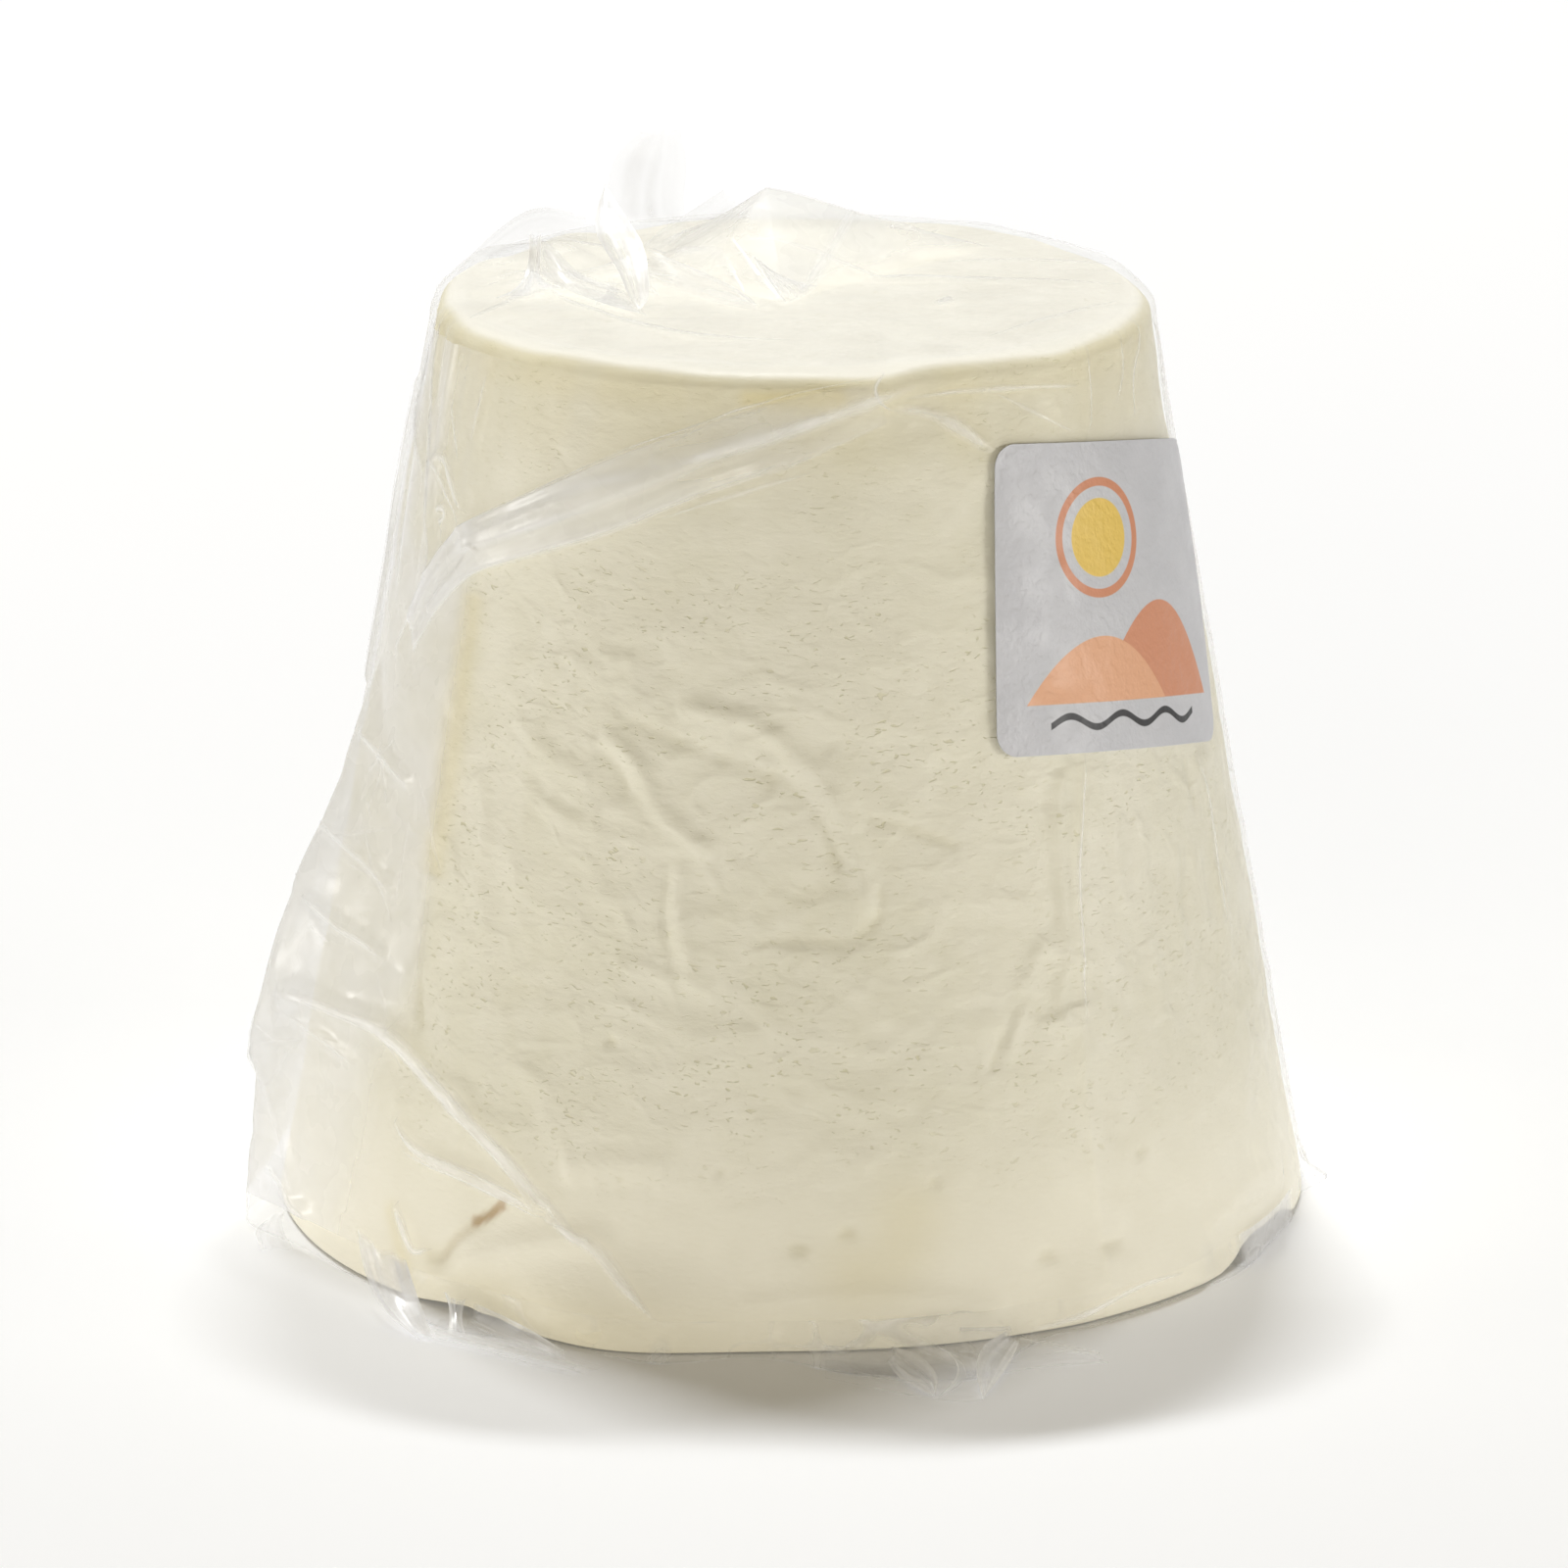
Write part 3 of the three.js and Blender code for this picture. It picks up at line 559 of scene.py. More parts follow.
def add_piece(name, points, material, slot, replaced, closed=True, low=None, high=None, values=None):
    """Makes a piece from a grid of points in rows and columns, or from several such grids. low and high are
    single points that close the first and the last row, and values are numbers kept at each point."""
    rows, columns = points.shape[-3:-1]
    vertices = [points.reshape(-1, 3)]
    sheets = len(vertices[0]) // (rows * columns)
    starts = np.arange(sheets)[:, None, None] * rows * columns
    quads = (starts + grid_faces(rows, columns, closed)).reshape(-1, 4)
    fans = []
    turn = np.arange(columns)
    poles = []
    if low is not None:
        poles.append(0)
        fans.append(np.stack([np.full(columns, rows * columns), (turn + 1) % columns, turn], -1))
        vertices.append(np.array([low], float))
    if high is not None:
        last = (rows - 1) * columns
        middle = rows * columns + len(poles)
        poles.append(rows - 1)
        fans.append(np.stack([np.full(columns, middle), last + turn, last + (turn + 1) % columns], -1))
        vertices.append(np.array([high], float))
    fans = np.concatenate(fans) if fans else np.zeros((0, 3), int)
    vertices = np.concatenate(vertices) * MM
    mesh = bpy.data.meshes.new(name)
    mesh.vertices.add(len(vertices))
    mesh.vertices.foreach_set("co", vertices.astype(np.float32).ravel())
    mesh.loops.add(quads.size + fans.size)
    mesh.loops.foreach_set("vertex_index", np.concatenate([quads.ravel(), fans.ravel()]).astype(np.int32))
    starts = np.concatenate([np.arange(len(quads)) * 4, quads.size + np.arange(len(fans)) * 3])
    mesh.polygons.add(len(starts))
    mesh.polygons.foreach_set("loop_start", starts.astype(np.int32))
    mesh.polygons.foreach_set("use_smooth", np.ones(len(starts), bool))
    for word, numbers in (values or {}).items():
        numbers = np.broadcast_to(numbers, points.shape[:-1])
        ends = [numbers[row].mean() for row in poles]
        layer = mesh.attributes.new(word, "FLOAT", "POINT")
        layer.data.foreach_set("value", np.concatenate([numbers.ravel(), ends]).astype(np.float32))
    mesh.validate()
    mesh.update()
    mesh.materials.append(material)
    piece = bpy.data.objects.new(name, mesh)
    bpy.context.scene.collection.objects.link(piece)
    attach(piece, "root")
    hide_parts(replaced)
    return piece


def feed(tree, made, inputs):
    """Gives a node's sockets numbers, colours or other sockets."""
    for socket, value in inputs.items():
        if isinstance(value, bpy.types.NodeSocket):
            tree.links.new(value, made.inputs[socket])
        else:
            made.inputs[socket].default_value = value


def node(tree, kind, inputs=None, **fields):
    """Adds a shader node. inputs is for its sockets and fields are its own settings."""
    made = tree.nodes.new(kind)
    for field, value in fields.items():
        setattr(made, field, value)
    feed(tree, made, inputs or {})
    return made


def calc(tree, operation, *numbers, clamp=False):
    """The result of a Math node on numbers or sockets."""
    inputs = dict(enumerate(numbers))
    return node(tree, "ShaderNodeMath", inputs, operation=operation, use_clamp=clamp).outputs[0]


def span(tree, value, low, high, to_low=0.0, to_high=1.0):
    """value brought from low..high to to_low..to_high by the smooth step."""
    inputs = {"Value": value, "From Min": low, "From Max": high, "To Min": to_low, "To Max": to_high}
    return node(tree, "ShaderNodeMapRange", inputs, interpolation_type="SMOOTHSTEP").outputs["Result"]


def blend(tree, share, first, second):
    """The first colour with a share of the second."""
    return node(tree, "ShaderNodeMix", {0: share, 6: first, 7: second}, data_type="RGBA").outputs[2]


def kept(tree, word):
    """The number that the piece keeps at each point under a word."""
    return node(tree, "ShaderNodeAttribute", attribute_name=word).outputs["Fac"]


def bumped(tree, height, distance, strength):
    """A normal that follows a height."""
    return node(tree, "ShaderNodeBump",
                {"Height": height, "Distance": distance, "Strength": strength}).outputs["Normal"]


def new_group(name, inputs):
    """A shader node group with a Vector, named numbers and one number that it gives. Returns it with its
    two end nodes and the scale of a texture whose features have its Size in millimetres."""
    group = bpy.data.node_groups.new(name, "ShaderNodeTree")
    group.interface.new_socket("Vector", in_out="INPUT", socket_type="NodeSocketVector")
    for word, value in inputs.items():
        group.interface.new_socket(word, in_out="INPUT", socket_type="NodeSocketFloat").default_value = value
    group.interface.new_socket("Value", in_out="OUTPUT", socket_type="NodeSocketFloat")
    start, end = group.nodes.new("NodeGroupInput"), group.nodes.new("NodeGroupOutput")
    return group, start.outputs, end, calc(group, "DIVIDE", 1 / MM, start.outputs["Size"])


def noise(tree, place, scale, detail, distortion=0.0):
    """The value of a noise."""
    inputs = {"Vector": place, "Scale": scale, "Detail": detail, "Distortion": distortion}
    return node(tree, "ShaderNodeTexNoise", inputs).outputs["Fac"]


def from_middle(tree, value):
    """How far a noise is from its middle value."""
    return calc(tree, "ABSOLUTE", calc(tree, "SUBTRACT", value, 0.5))


def mottle_group():
    """Soft patches: noise of a size, brought to run from Low to High."""
    group, start, end, scale = new_group("soft mottle", {"Size": 10.0, "Low": 0.0, "High": 1.0})
    patches = noise(group, start["Vector"], scale, 2.0)
    feed(group, end, {"Value": span(group, patches, 0.32, 0.68, start["Low"], start["High"])})
    return group


def crinkle_group():
    """Soft slopes that meet in sharp creases: how far a noise of a size is from its middle value."""
    group, start, end, scale = new_group("crinkle", {"Size": 7.0})
    feed(group, end, {"Value": from_middle(group, noise(group, start["Vector"], scale, 1.0))})
    return group


def wrinkle_group():
    """Soft raised lines that wander: 1 where a noise of a size has its middle value, and 0 from Width
    away."""
    group, start, end, scale = new_group("wrinkle lines", {"Size": 6.0, "Width": 0.03})
    away = from_middle(group, noise(group, start["Vector"], scale, 1.0, 0.3))
    feed(group, end, {"Value": span(group, away, 0.0, start["Width"], 1.0, 0.0)})
    return group


MOTTLE = mottle_group()
WRINKLES = wrinkle_group()
CRINKLE = crinkle_group()


def grouped(tree, group, **inputs):
    """The value that a node group gives."""
    return node(tree, "ShaderNodeGroup", inputs, node_tree=group).outputs["Value"]


def mottle(tree, place, size, low=0.0, high=1.0):
    """Soft patches of a size in millimetres."""
    return grouped(tree, MOTTLE, Vector=place, Size=size, Low=low, High=high)


def new_material(name):
    """An empty material. Returns it with its tree, its shader and the Object coordinates."""
    material = bpy.data.materials.new(name)
    material.use_nodes = True
    tree = material.node_tree
    tree.nodes.clear()
    shader = tree.nodes.new("ShaderNodeBsdfPrincipled")
    output = tree.nodes.new("ShaderNodeOutputMaterial")
    tree.links.new(shader.outputs[0], output.inputs["Surface"])
    place = tree.nodes.new("ShaderNodeTexCoord").outputs["Object"]
    return material, tree, shader, place


# Colours of the curd: its soft patches, painted light at the foot, a paler top face that is partly painted
# light, olive for hollows and painted shade, pits, straw for stains and painted shade, and brown stains
CURD, CURD_SHADE, CURD_LIGHT = (0.82, 0.79, 0.655, 1), (0.79, 0.76, 0.615, 1), (0.85, 0.82, 0.70, 1)
FOOT_PAINTED_LIGHT, TOP_CREAM_AND_PAINTED_LIGHT = (0.985, 0.95, 0.815, 1), (0.965, 0.94, 0.85, 1)
OLIVE_HOLLOW_AND_SHADE, PIT_OLIVE = (0.58, 0.53, 0.34, 1), (0.58, 0.54, 0.28, 1)
STRAW_STAIN_AND_SHADE, BROWN = (0.80, 0.705, 0.39, 1), (0.42, 0.26, 0.10, 1)
# How much flatter the pits and the wrinkles are than they are wide
PITS_FLAT, WRINKLES_FLAT = (1.0, 1.0, 2.3), (1.0, 1.0, 1.4)


def cheese_material():
    """Ivory curd with soft patches, olive in its hollows and short dark pits drawn out sideways, painted
    light at the foot, a paler top face that is partly painted light, and painted shade under the top edge.
    The bump adds grain, pits and wrinkle lines too fine for the mesh."""
    material, tree, shader, place = new_material("ivory curd")
    flat, wide = (node(tree, "ShaderNodeMapping", {"Vector": place, "Scale": scale}).outputs[0]
                  for scale in (PITS_FLAT, WRINKLES_FLAT))
    colour = blend(tree, mottle(tree, place, 22.0), CURD, CURD_SHADE)
    colour = blend(tree, mottle(tree, place, 3.6, 0.0, 0.4), colour, CURD_LIGHT)
    height_above = node(tree, "ShaderNodeSeparateXYZ", {0: place}).outputs["Z"]
    # Painted light: the curd is made a lighter cream towards the foot
    colour = blend(tree, span(tree, height_above, 0.003, 0.024, 0.9, 0.0), colour, FOOT_PAINTED_LIGHT)
    # Olive for hollows and painted shade, straw for stains and painted shade, brown stains, and a paler top
    # face that is partly painted light
    for word, tone in (("hollow_and_shade", OLIVE_HOLLOW_AND_SHADE), ("yellow_stain_and_shade", STRAW_STAIN_AND_SHADE), ("brown", BROWN), ("top", TOP_CREAM_AND_PAINTED_LIGHT)):
        colour = blend(tree, kept(tree, word), colour, tone)
    pits = span(tree, noise(tree, flat, 1300.0, 0.5, 0.8), 0.655, 0.76)
    pitted = kept(tree, "pitted")
    depth = calc(tree, "MULTIPLY", calc(tree, "MULTIPLY", pits, mottle(tree, place, 7.0)), pitted)
    colour = blend(tree, calc(tree, "MULTIPLY", depth, 0.4), colour, PIT_OLIVE)
    broad = grouped(tree, WRINKLES, Vector=wide, Size=8.0, Width=0.13)
    small = grouped(tree, WRINKLES, Vector=wide, Size=4.0, Width=0.15)
    lines = calc(tree, "MULTIPLY", broad, mottle(tree, place, 12.0, 0.1, 0.85))
    lines = calc(tree, "ADD", lines, calc(tree, "MULTIPLY", small, 0.3))
    lines = calc(tree, "MULTIPLY", lines, pitted)
    grain = calc(tree, "MULTIPLY", mottle(tree, flat, 1.1), 0.15)
    height = calc(tree, "ADD", calc(tree, "SUBTRACT", grain, calc(tree, "MULTIPLY", depth, 0.55)), lines)
    feed(tree, shader, {
        "Base Color": colour, "Normal": bumped(tree, height, 0.0002, 0.6),
        "Roughness": mottle(tree, place, 6.0, 0.42, 0.6), "Specular IOR Level": 0.2})
    return material


# Crease lines are drawn white, partly as painted glints along the folds
FILM_TINT, CREASE_WHITE_AND_GLINT = (0.86, 0.865, 0.89, 1), (1.0, 1.0, 0.985, 1)
SHADOW_LET_THROUGH = 0.72


def film_material():
    """Clear film: nearly all is let through where it lies tight. It is milky where it stands off, along its
    creases, whose white lines are partly painted glints, and where it is seen edge on, has a sharp gloss and
    throws hardly any shadow."""
    material, tree, shader, place = new_material("clear film")
    on_crease = span(tree, kept(tree, "crease_gap"), 0.0, 1.0, 1.0, 0.0)
    # White crease lines, partly painted glints
    line = calc(tree, "MULTIPLY", on_crease, kept(tree, "shine"))
    facing = node(tree, "ShaderNodeLayerWeight", {"Blend": 0.5}).outputs["Facing"]
    graze = calc(tree, "MULTIPLY", calc(tree, "POWER", facing, 4.0), 0.3)
    veil = calc(tree, "MULTIPLY", kept(tree, "milk"), mottle(tree, place, 9.0, 0.5, 0.66))
    alpha = calc(tree, "ADD", calc(tree, "ADD", veil, graze), 0.05)
    alpha = calc(tree, "ADD", alpha, calc(tree, "MULTIPLY", line, 0.7), clamp=True)
    shadow = node(tree, "ShaderNodeLightPath").outputs["Is Shadow Ray"]
    blocked = calc(tree, "SUBTRACT", 1.0, calc(tree, "MULTIPLY", shadow, SHADOW_LET_THROUGH))
    dull = calc(tree, "MULTIPLY", kept(tree, "dull"), 0.5)
    feed(tree, shader, {
        "Alpha": calc(tree, "MULTIPLY", alpha, blocked),
        "Base Color": blend(tree, line, FILM_TINT, CREASE_WHITE_AND_GLINT),
        "Normal": bumped(tree, grouped(tree, CRINKLE, Vector=place, Size=7.0), 0.0012, 0.45),
        "Roughness": calc(tree, "ADD", mottle(tree, place, 4.0, 0.17, 0.4), dull),
        "Specular IOR Level": 0.5})
    return material


# Colours of the label: two greys of the paper, the sun and its ring, the hills and the wave
PAPER, PAPER_SHADE = (0.60, 0.605, 0.645, 1), (0.57, 0.575, 0.615, 1)
SUN_YELLOW, RING_SALMON = (0.80, 0.56, 0.12, 1), (0.64, 0.27, 0.15, 1)
BACK_SALMON, FRONT_SALMON, WAVE_BLACK = (0.66, 0.29, 0.17, 1), (0.78, 0.42, 0.25, 1), (0.035, 0.035, 0.04, 1)
# Places of the print in millimetres right of and below the middle of the paper
SUN, SUN_RADIUS, RING_INNER, RING_OUTER = (-4.2, -5.4), 3.6, 4.7, 5.5
HILLS_FOOT = 9.6
WAVE_HEIGHT, WAVE_HALF_LENGTH, WAVE_HALF_WIDTH = 11.3, 10.5, 0.32


def label_material():
    """Pale grey paper with a printed sun over two hills and a wave, worked out from the place across and
    down the label."""
    material, tree, shader, place = new_material("printed paper")
    across, down = kept(tree, "across"), kept(tree, "down")

    def disc(radius):
        """How far inside a disc round the sun's middle each point is."""
        ways = (calc(tree, "SUBTRACT", part, middle) for part, middle in zip((across, down), SUN))
        squares = (calc(tree, "POWER", way, 2.0) for way in ways)
        return calc(tree, "SUBTRACT", radius, calc(tree, "SQRT", calc(tree, "ADD", *squares)))

    def hill(middle, top, width, rise):
        """How far inside a hill each point is: under its round outline and over its foot."""
        dx = calc(tree, "DIVIDE", calc(tree, "SUBTRACT", across, middle), width)
        drop = calc(tree, "MULTIPLY", calc(tree, "POWER", dx, 2.0), rise)
        under = calc(tree, "SUBTRACT", down, calc(tree, "ADD", drop, top))
        return calc(tree, "MINIMUM", under, calc(tree, "SUBTRACT", HILLS_FOOT, down))

    ring = calc(tree, "MINIMUM", disc(RING_OUTER), calc(tree, "MULTIPLY", disc(RING_INNER), -1.0))
    swing = calc(tree, "MULTIPLY", calc(tree, "SINE", calc(tree, "MULTIPLY", across, 0.95)), 0.55)
    middle_line = calc(tree, "ADD", swing, WAVE_HEIGHT)
    off_line = calc(tree, "ABSOLUTE", calc(tree, "SUBTRACT", down, middle_line))
    near_middle = calc(tree, "SUBTRACT", WAVE_HALF_LENGTH, calc(tree, "ABSOLUTE", across))
    wave = calc(tree, "MINIMUM", calc(tree, "SUBTRACT", WAVE_HALF_WIDTH, off_line), near_middle)
    colour = blend(tree, mottle(tree, place, 5.0), PAPER, PAPER_SHADE)
    for inside, ink in (
            (disc(SUN_RADIUS), SUN_YELLOW), (ring, RING_SALMON), (hill(4.6, 0.6, 7.0, 5.0), BACK_SALMON),
            (hill(-4.0, 3.6, 8.0, 4.6), FRONT_SALMON), (wave, WAVE_BLACK)):
        colour = blend(tree, span(tree, inside, -0.06, 0.06), colour, ink)
    feed(tree, shader, {
        "Base Color": colour, "Normal": bumped(tree, mottle(tree, place, 0.9), 0.00008, 0.4),
        "Roughness": mottle(tree, place, 3.0, 0.36, 0.5), "Specular IOR Level": 0.4})
    return material


def build_cheese(material):
    """The cheese is one closed surface. Its rows run from the middle of the base, out under the chipped
    rim, up the side as cone + lumps + relief, round the top edge by a quarter circle and in to the middle
    of the top."""
    angle = turns(CHEESE_COLUMNS)
    lift = chip_lift(angle)
    broken = 0.4 * skin_cloud(angle, 3, 1.8, 2, 31) * smooth(lift, 0.35, 0.9)
    lift = np.maximum(lift + broken, RIM_LIFT)
    rim = cone_radius(lift) + lumps(angle, lift) + overhang(angle, lift)
    low, top = lift + CHEESE_BOTTOM, HEIGHT - TOP_ROUNDING
    rows = [((rim - CHIP_DEPTH) * share, CHEESE_BOTTOM) for share in (0.3, 0.6, 0.85)]
    for share in np.linspace(0, 1, 9):
        crumbs = 0.35 * skin_cloud(angle, 9 * share, 1.8, 1.5, 33) * smooth(lift, 0.8, 2)
        z = CHEESE_BOTTOM + (lift - RIM_LIFT) * share ** 1.4 + crumbs * share
        under = rim - RIM_ROUNDING - (CHIP_DEPTH - RIM_ROUNDING) * (1 - share)
        rows.append((under, np.maximum(z, CHEESE_BOTTOM)))
    for t in np.radians([20, 50, 75]):
        rows.append((rim - RIM_ROUNDING * (1 - np.sin(t)), low - RIM_LIFT * np.cos(t)))
    for share in np.linspace(0, 1, CHEESE_SIDE_ROWS):
        z = low + (top - low) * share
        surface = relief(angle, z) * smooth(share, 0, 0.02)
        rows.append((cone_radius(z) + lumps(angle, z) + overhang(angle, z) + surface, z))
    edge = cone_radius(top) + lumps(angle, top) - TOP_ROUNDING
    last = relief(angle, top)
    edge_dip = 0.45 * skin_cloud(angle, 0, 9, 5, 41)
    for t in np.radians(np.linspace(0, 90, 9)[1:]):
        rows.append((edge + (TOP_ROUNDING + last * np.cos(t)) * np.cos(t),
                     top + TOP_ROUNDING * np.sin(t) + edge_dip * np.sin(t)))
    for share in np.linspace(1, 0, CHEESE_TOP_ROWS)[1:-1]:
        x, y = from_above(angle, edge * share)
        rough = 0.14 * cloud(x / 5 + 60, y / 4 + 60, 43) + 0.08 * cloud(x / 2 + 60, y / 1.6 + 60, 44)
        rise = rough * smooth(1 - share, 0, 0.1) + edge_dip * smooth(share, 0.7, 1)
        rows.append((edge * share, HEIGHT + rise))
    radius, z = stack_rows(rows, angle)
    over = smooth(edge + TOP_ROUNDING - radius, 0.4, 1.4) * (z > top - 0.5)
    return add_piece(
        "cheese", polar(angle, radius, z), material, "cheese", "wrapped_cheese",
        low=(0, 0, CHEESE_BOTTOM), high=(0, 0, HEIGHT), values=cheese_stains_shade_and_light(angle, z, over))


def cheese_stains_shade_and_light(angle, z, over):
    """Where the curd has olive hollows, straw and brown stains, pits and painted shade, and where its top
    face
    is: the hollows of the relief, marks and strips along lines, a darker stretch of painted shade with
    streaks of painted shadow under the top edge, a painted shadow under the band and a painted fold shadow."""
    def near(line, width, power=2):
        """1 along a line on the side, falling off over a width."""
        return hump(side_gap(angle, z, line)[0], width, power)

    ragged = 0.42 + 0.25 * skin_cloud(angle, z, 0.9, 0.7, 35)
    brown = 0.75 * near([(-37.8, 8.6), (-36.2, 9.4), (-34.4, 10.7)], ragged, 4)
    brown = brown + 0.14 * near([(-41.9, 4.4), (-40.4, 6.5), (-38.2, 8.1)], 0.5)
    gap, share = side_gap(angle, z, [(-52.3, 64.7), (-51.9, 56), (-52, 47), (-52.3, 38)])
    strip = hump(gap, 1.9) * ends_fade(share, 0.08)
    # Painted shadow of the film, in upright streaks under the top edge
    shadow_drapes = smooth(skin_cloud(angle, z, 5, 30, 45) + 0.4 * skin_cloud(angle, z, 2.4, 14, 46), -0.8, 0.6)
    # Painted shade on the curd just under the top rounding
    brim = smooth(z, 82.5, 85) * (1 - over)
    # Painted shade under the top edge, stronger in the painted shadow streaks
    shade_under_edge = smooth(z, 74, 83) * (1 - over) * (0.35 + 0.65 * shadow_drapes)
    # Painted shadow of a fold: a narrow dark line just under the top edge at the front
    fold_shadow_line = near([(-7, 85), (0, 84.9), (7, 85.2)], 0.8)
    # Straw stains, and painted shade under the top edge, under the rounding and in the fold shadow line
    yellow_stain_and_shade = (0.26 * near([(7, 7), (11, 7.5), (13, 12)], 3.6)
              + 0.3 * (1 - smooth(z, 1, 7)) * bump(angle, -28, 22)
              + 0.3 * near([(-51, 7.2), (-49, 4.6), (-47.6, 3)], 0.9)
              + 0.35 * strip + 0.16 * shade_under_edge + 0.16 * brim + 0.5 * fold_shadow_line)
    side = smooth(z, 1, 3) * (1 - smooth(z, 86, 87))
    # Olive in the hollows of the relief and the strip, and painted shade under the top edge and the rounding
    hollow_and_shade = (np.clip(-relief(angle, z) * 0.9 - 0.05, 0, 0.5) * side + 0.22 * strip + 0.08 * shade_under_edge
              # A painted shadow under the band at the right, and the painted fold shadow line
              + 0.08 * brim + 0.2 * near([(9, 80.2), (16, 80.8), (25, 81.2), (38, 80)], 2.2) + 0.25 * fold_shadow_line)
    pitted = smooth(z, 8, 24) * (1 - 0.5 * smooth(z, 62, 76)) * (1 - 0.7 * smooth(z, 86, 87)) + 0.12
    # top: where the top face is, which gets a paler cream that is partly painted light
    return {"hollow_and_shade": np.clip(hollow_and_shade, 0, 0.8), "brown": np.clip(brown, 0, 1),
            "yellow_stain_and_shade": np.clip(yellow_stain_and_shade, 0, 1), "pitted": pitted, "top": over}


def fin_share(angle, z):
    """1 where the film stands off as the fin, from its front edge, which is softer near the foot, to its
    back edge, fading out at its top."""
    front = smooth(FIN_LEAVES + 3 - angle, 0, 6 + 12 * (1 - smooth(z, 14, 30)))
    return front * smooth(angle - FIN_RETURNS + 4, 0, 6) * (1 - smooth(z, 63, 69))


def under_label(angle, z):
    """1 under the label and 0 a little outside it, from the distance across and down the turned paper."""
    turn = math.radians(LABEL_TURN)
    x = np.radians(short_way(angle - LABEL_ANGLE)) * cone_radius(LABEL_MIDDLE)
    y = (LABEL_MIDDLE - z) / math.cos(math.atan(TAPER))
    across = np.abs(x * math.cos(turn) + y * math.sin(turn)) - LABEL_WIDTH / 2
    down = np.abs(y * math.cos(turn) - x * math.sin(turn)) - LABEL_HEIGHT / 2
    return 1 - smooth(np.maximum(across, down), 0.2, 1.8)


STRAYS_LOWEST, STRAYS_HIGHEST = SKIRT_JOINS + 0.5, HEIGHT - TOP_ROUNDING - 0.5
STRAY_WIDTH = 0.25


def stray_creases(zones, seed):
    """Short straight creases strewn by a seeded draw. Each zone gives a count, its two ranges, the ranges
    of a crease's reach in both directions, and its whiteness, which is partly a painted glint. Each ends
    between the skirt and the top edge."""
    draw = np.random.default_rng(seed)
    creases = []
    for count, first, second, reach, white in zones:
        for _ in range(count):
            start = np.array([draw.uniform(*first), draw.uniform(*second)])
            way = np.array([draw.uniform(-reach[0], reach[0]), draw.uniform(-reach[1], reach[1])])
            end = start + way
            end[1] = np.clip(end[1], STRAYS_LOWEST, STRAYS_HIGHEST)
            creases.append(([tuple(start), tuple(end)], STRAY_WIDTH, white * draw.uniform(0.4, 1)))
    return creases


SIDE_STRAYS = stray_creases([
    (26, (-104, -56), (4, 56), (12, 9), 0.35), (11, (-100, -60), (64, 84), (1.2, 20), 0.45),
    (40, (104, 250), (6, 84), (16, 16), 0.5),
], 55)


def film_side(angle, z):
    """Radius of the film on the side, and how milky it is. The film follows the cone, the fin and the folds
    of the curd, with rises along the creases, upright pleats at the upper left, facets on the fin and fine
    crinkles elsewhere. It lies flat under the label."""
    rise = 0
    for line, width, height, _ in CREASES:
        gap, share = side_gap(angle, z, line)
        rise = rise + height * ends_fade(share, 0.1) * hump(gap, 1.5 * width)
    paper = under_label(angle, z)
    stands = smooth(fin(angle, z), 0.05, 1.2)
    tight = (1 - stands) * (1 - paper)
    upper_left = bump(angle, -74, 15) * smooth(z, 58, 70)
    back = smooth(np.abs(short_way(angle)), 100, 130)
    facets = np.abs(skin_cloud(angle, z, 9, 7, 51)) + 0.3 * np.abs(skin_cloud(angle, z, 4, 3.5, 52))
    pleats = np.abs(skin_cloud(angle + z / 9, z, 3.4, 45, 53))
    pleats = pleats + 0.5 * np.abs(skin_cloud(angle, z, 1.8, 30, 54))
    crinkle = np.abs(skin_cloud(angle, z + 2 * skin_cloud(angle, z, 8, 8, 55), 5, 9, 56))
    radius = film_radius(angle, z) + rise * (1 - 0.6 * paper) + stands * (0.6 * facets - 0.4)
    radius = radius + tight * ((0.06 + 0.25 * back) * crinkle + 0.9 * np.maximum(relief(angle, z), 0))
    radius = radius + 0.5 * upper_left * pleats
    edge = along(SECOND_LAYER, z)
    second_layer = 0.1 * smooth(angle, edge - 1, edge) * (1 - smooth(angle, 60, 90))
    milk = 0.8 * fin_share(angle, z) + 0.9 * upper_left * (0.45 + 0.7 * pleats) + 0.3 * back + second_layer
    return radius, np.clip(milk, 0, 1)


def add_film(name, points, material, milk, gap=1, shine=0, dull=0, **ends):
    """A piece of film. At each point it keeps how milky it is, how far from a crease, between 0 and 1, how
    white that crease is, partly as a painted glint, and how dull the film is."""
    values = {"milk": milk, "crease_gap": gap, "shine": shine, "dull": dull}
    return add_piece(name, points, material, "film", "wrapped_cheese", values=values, **ends)


def build_film_side(material):
    """Rows of the film's side from the skirt's top to the start of the rounded top edge."""
    angle = turns(FILM_COLUMNS)
    low, high = SKIRT_JOINS, HEIGHT - TOP_ROUNDING + FILM
    z = low + (high - low) * np.linspace(0, 1, FILM_SIDE_ROWS)[:, None] + 0 * angle
    radius, milk = film_side(angle, z)
    return add_film("film_side", polar(angle, radius, z), material, milk)


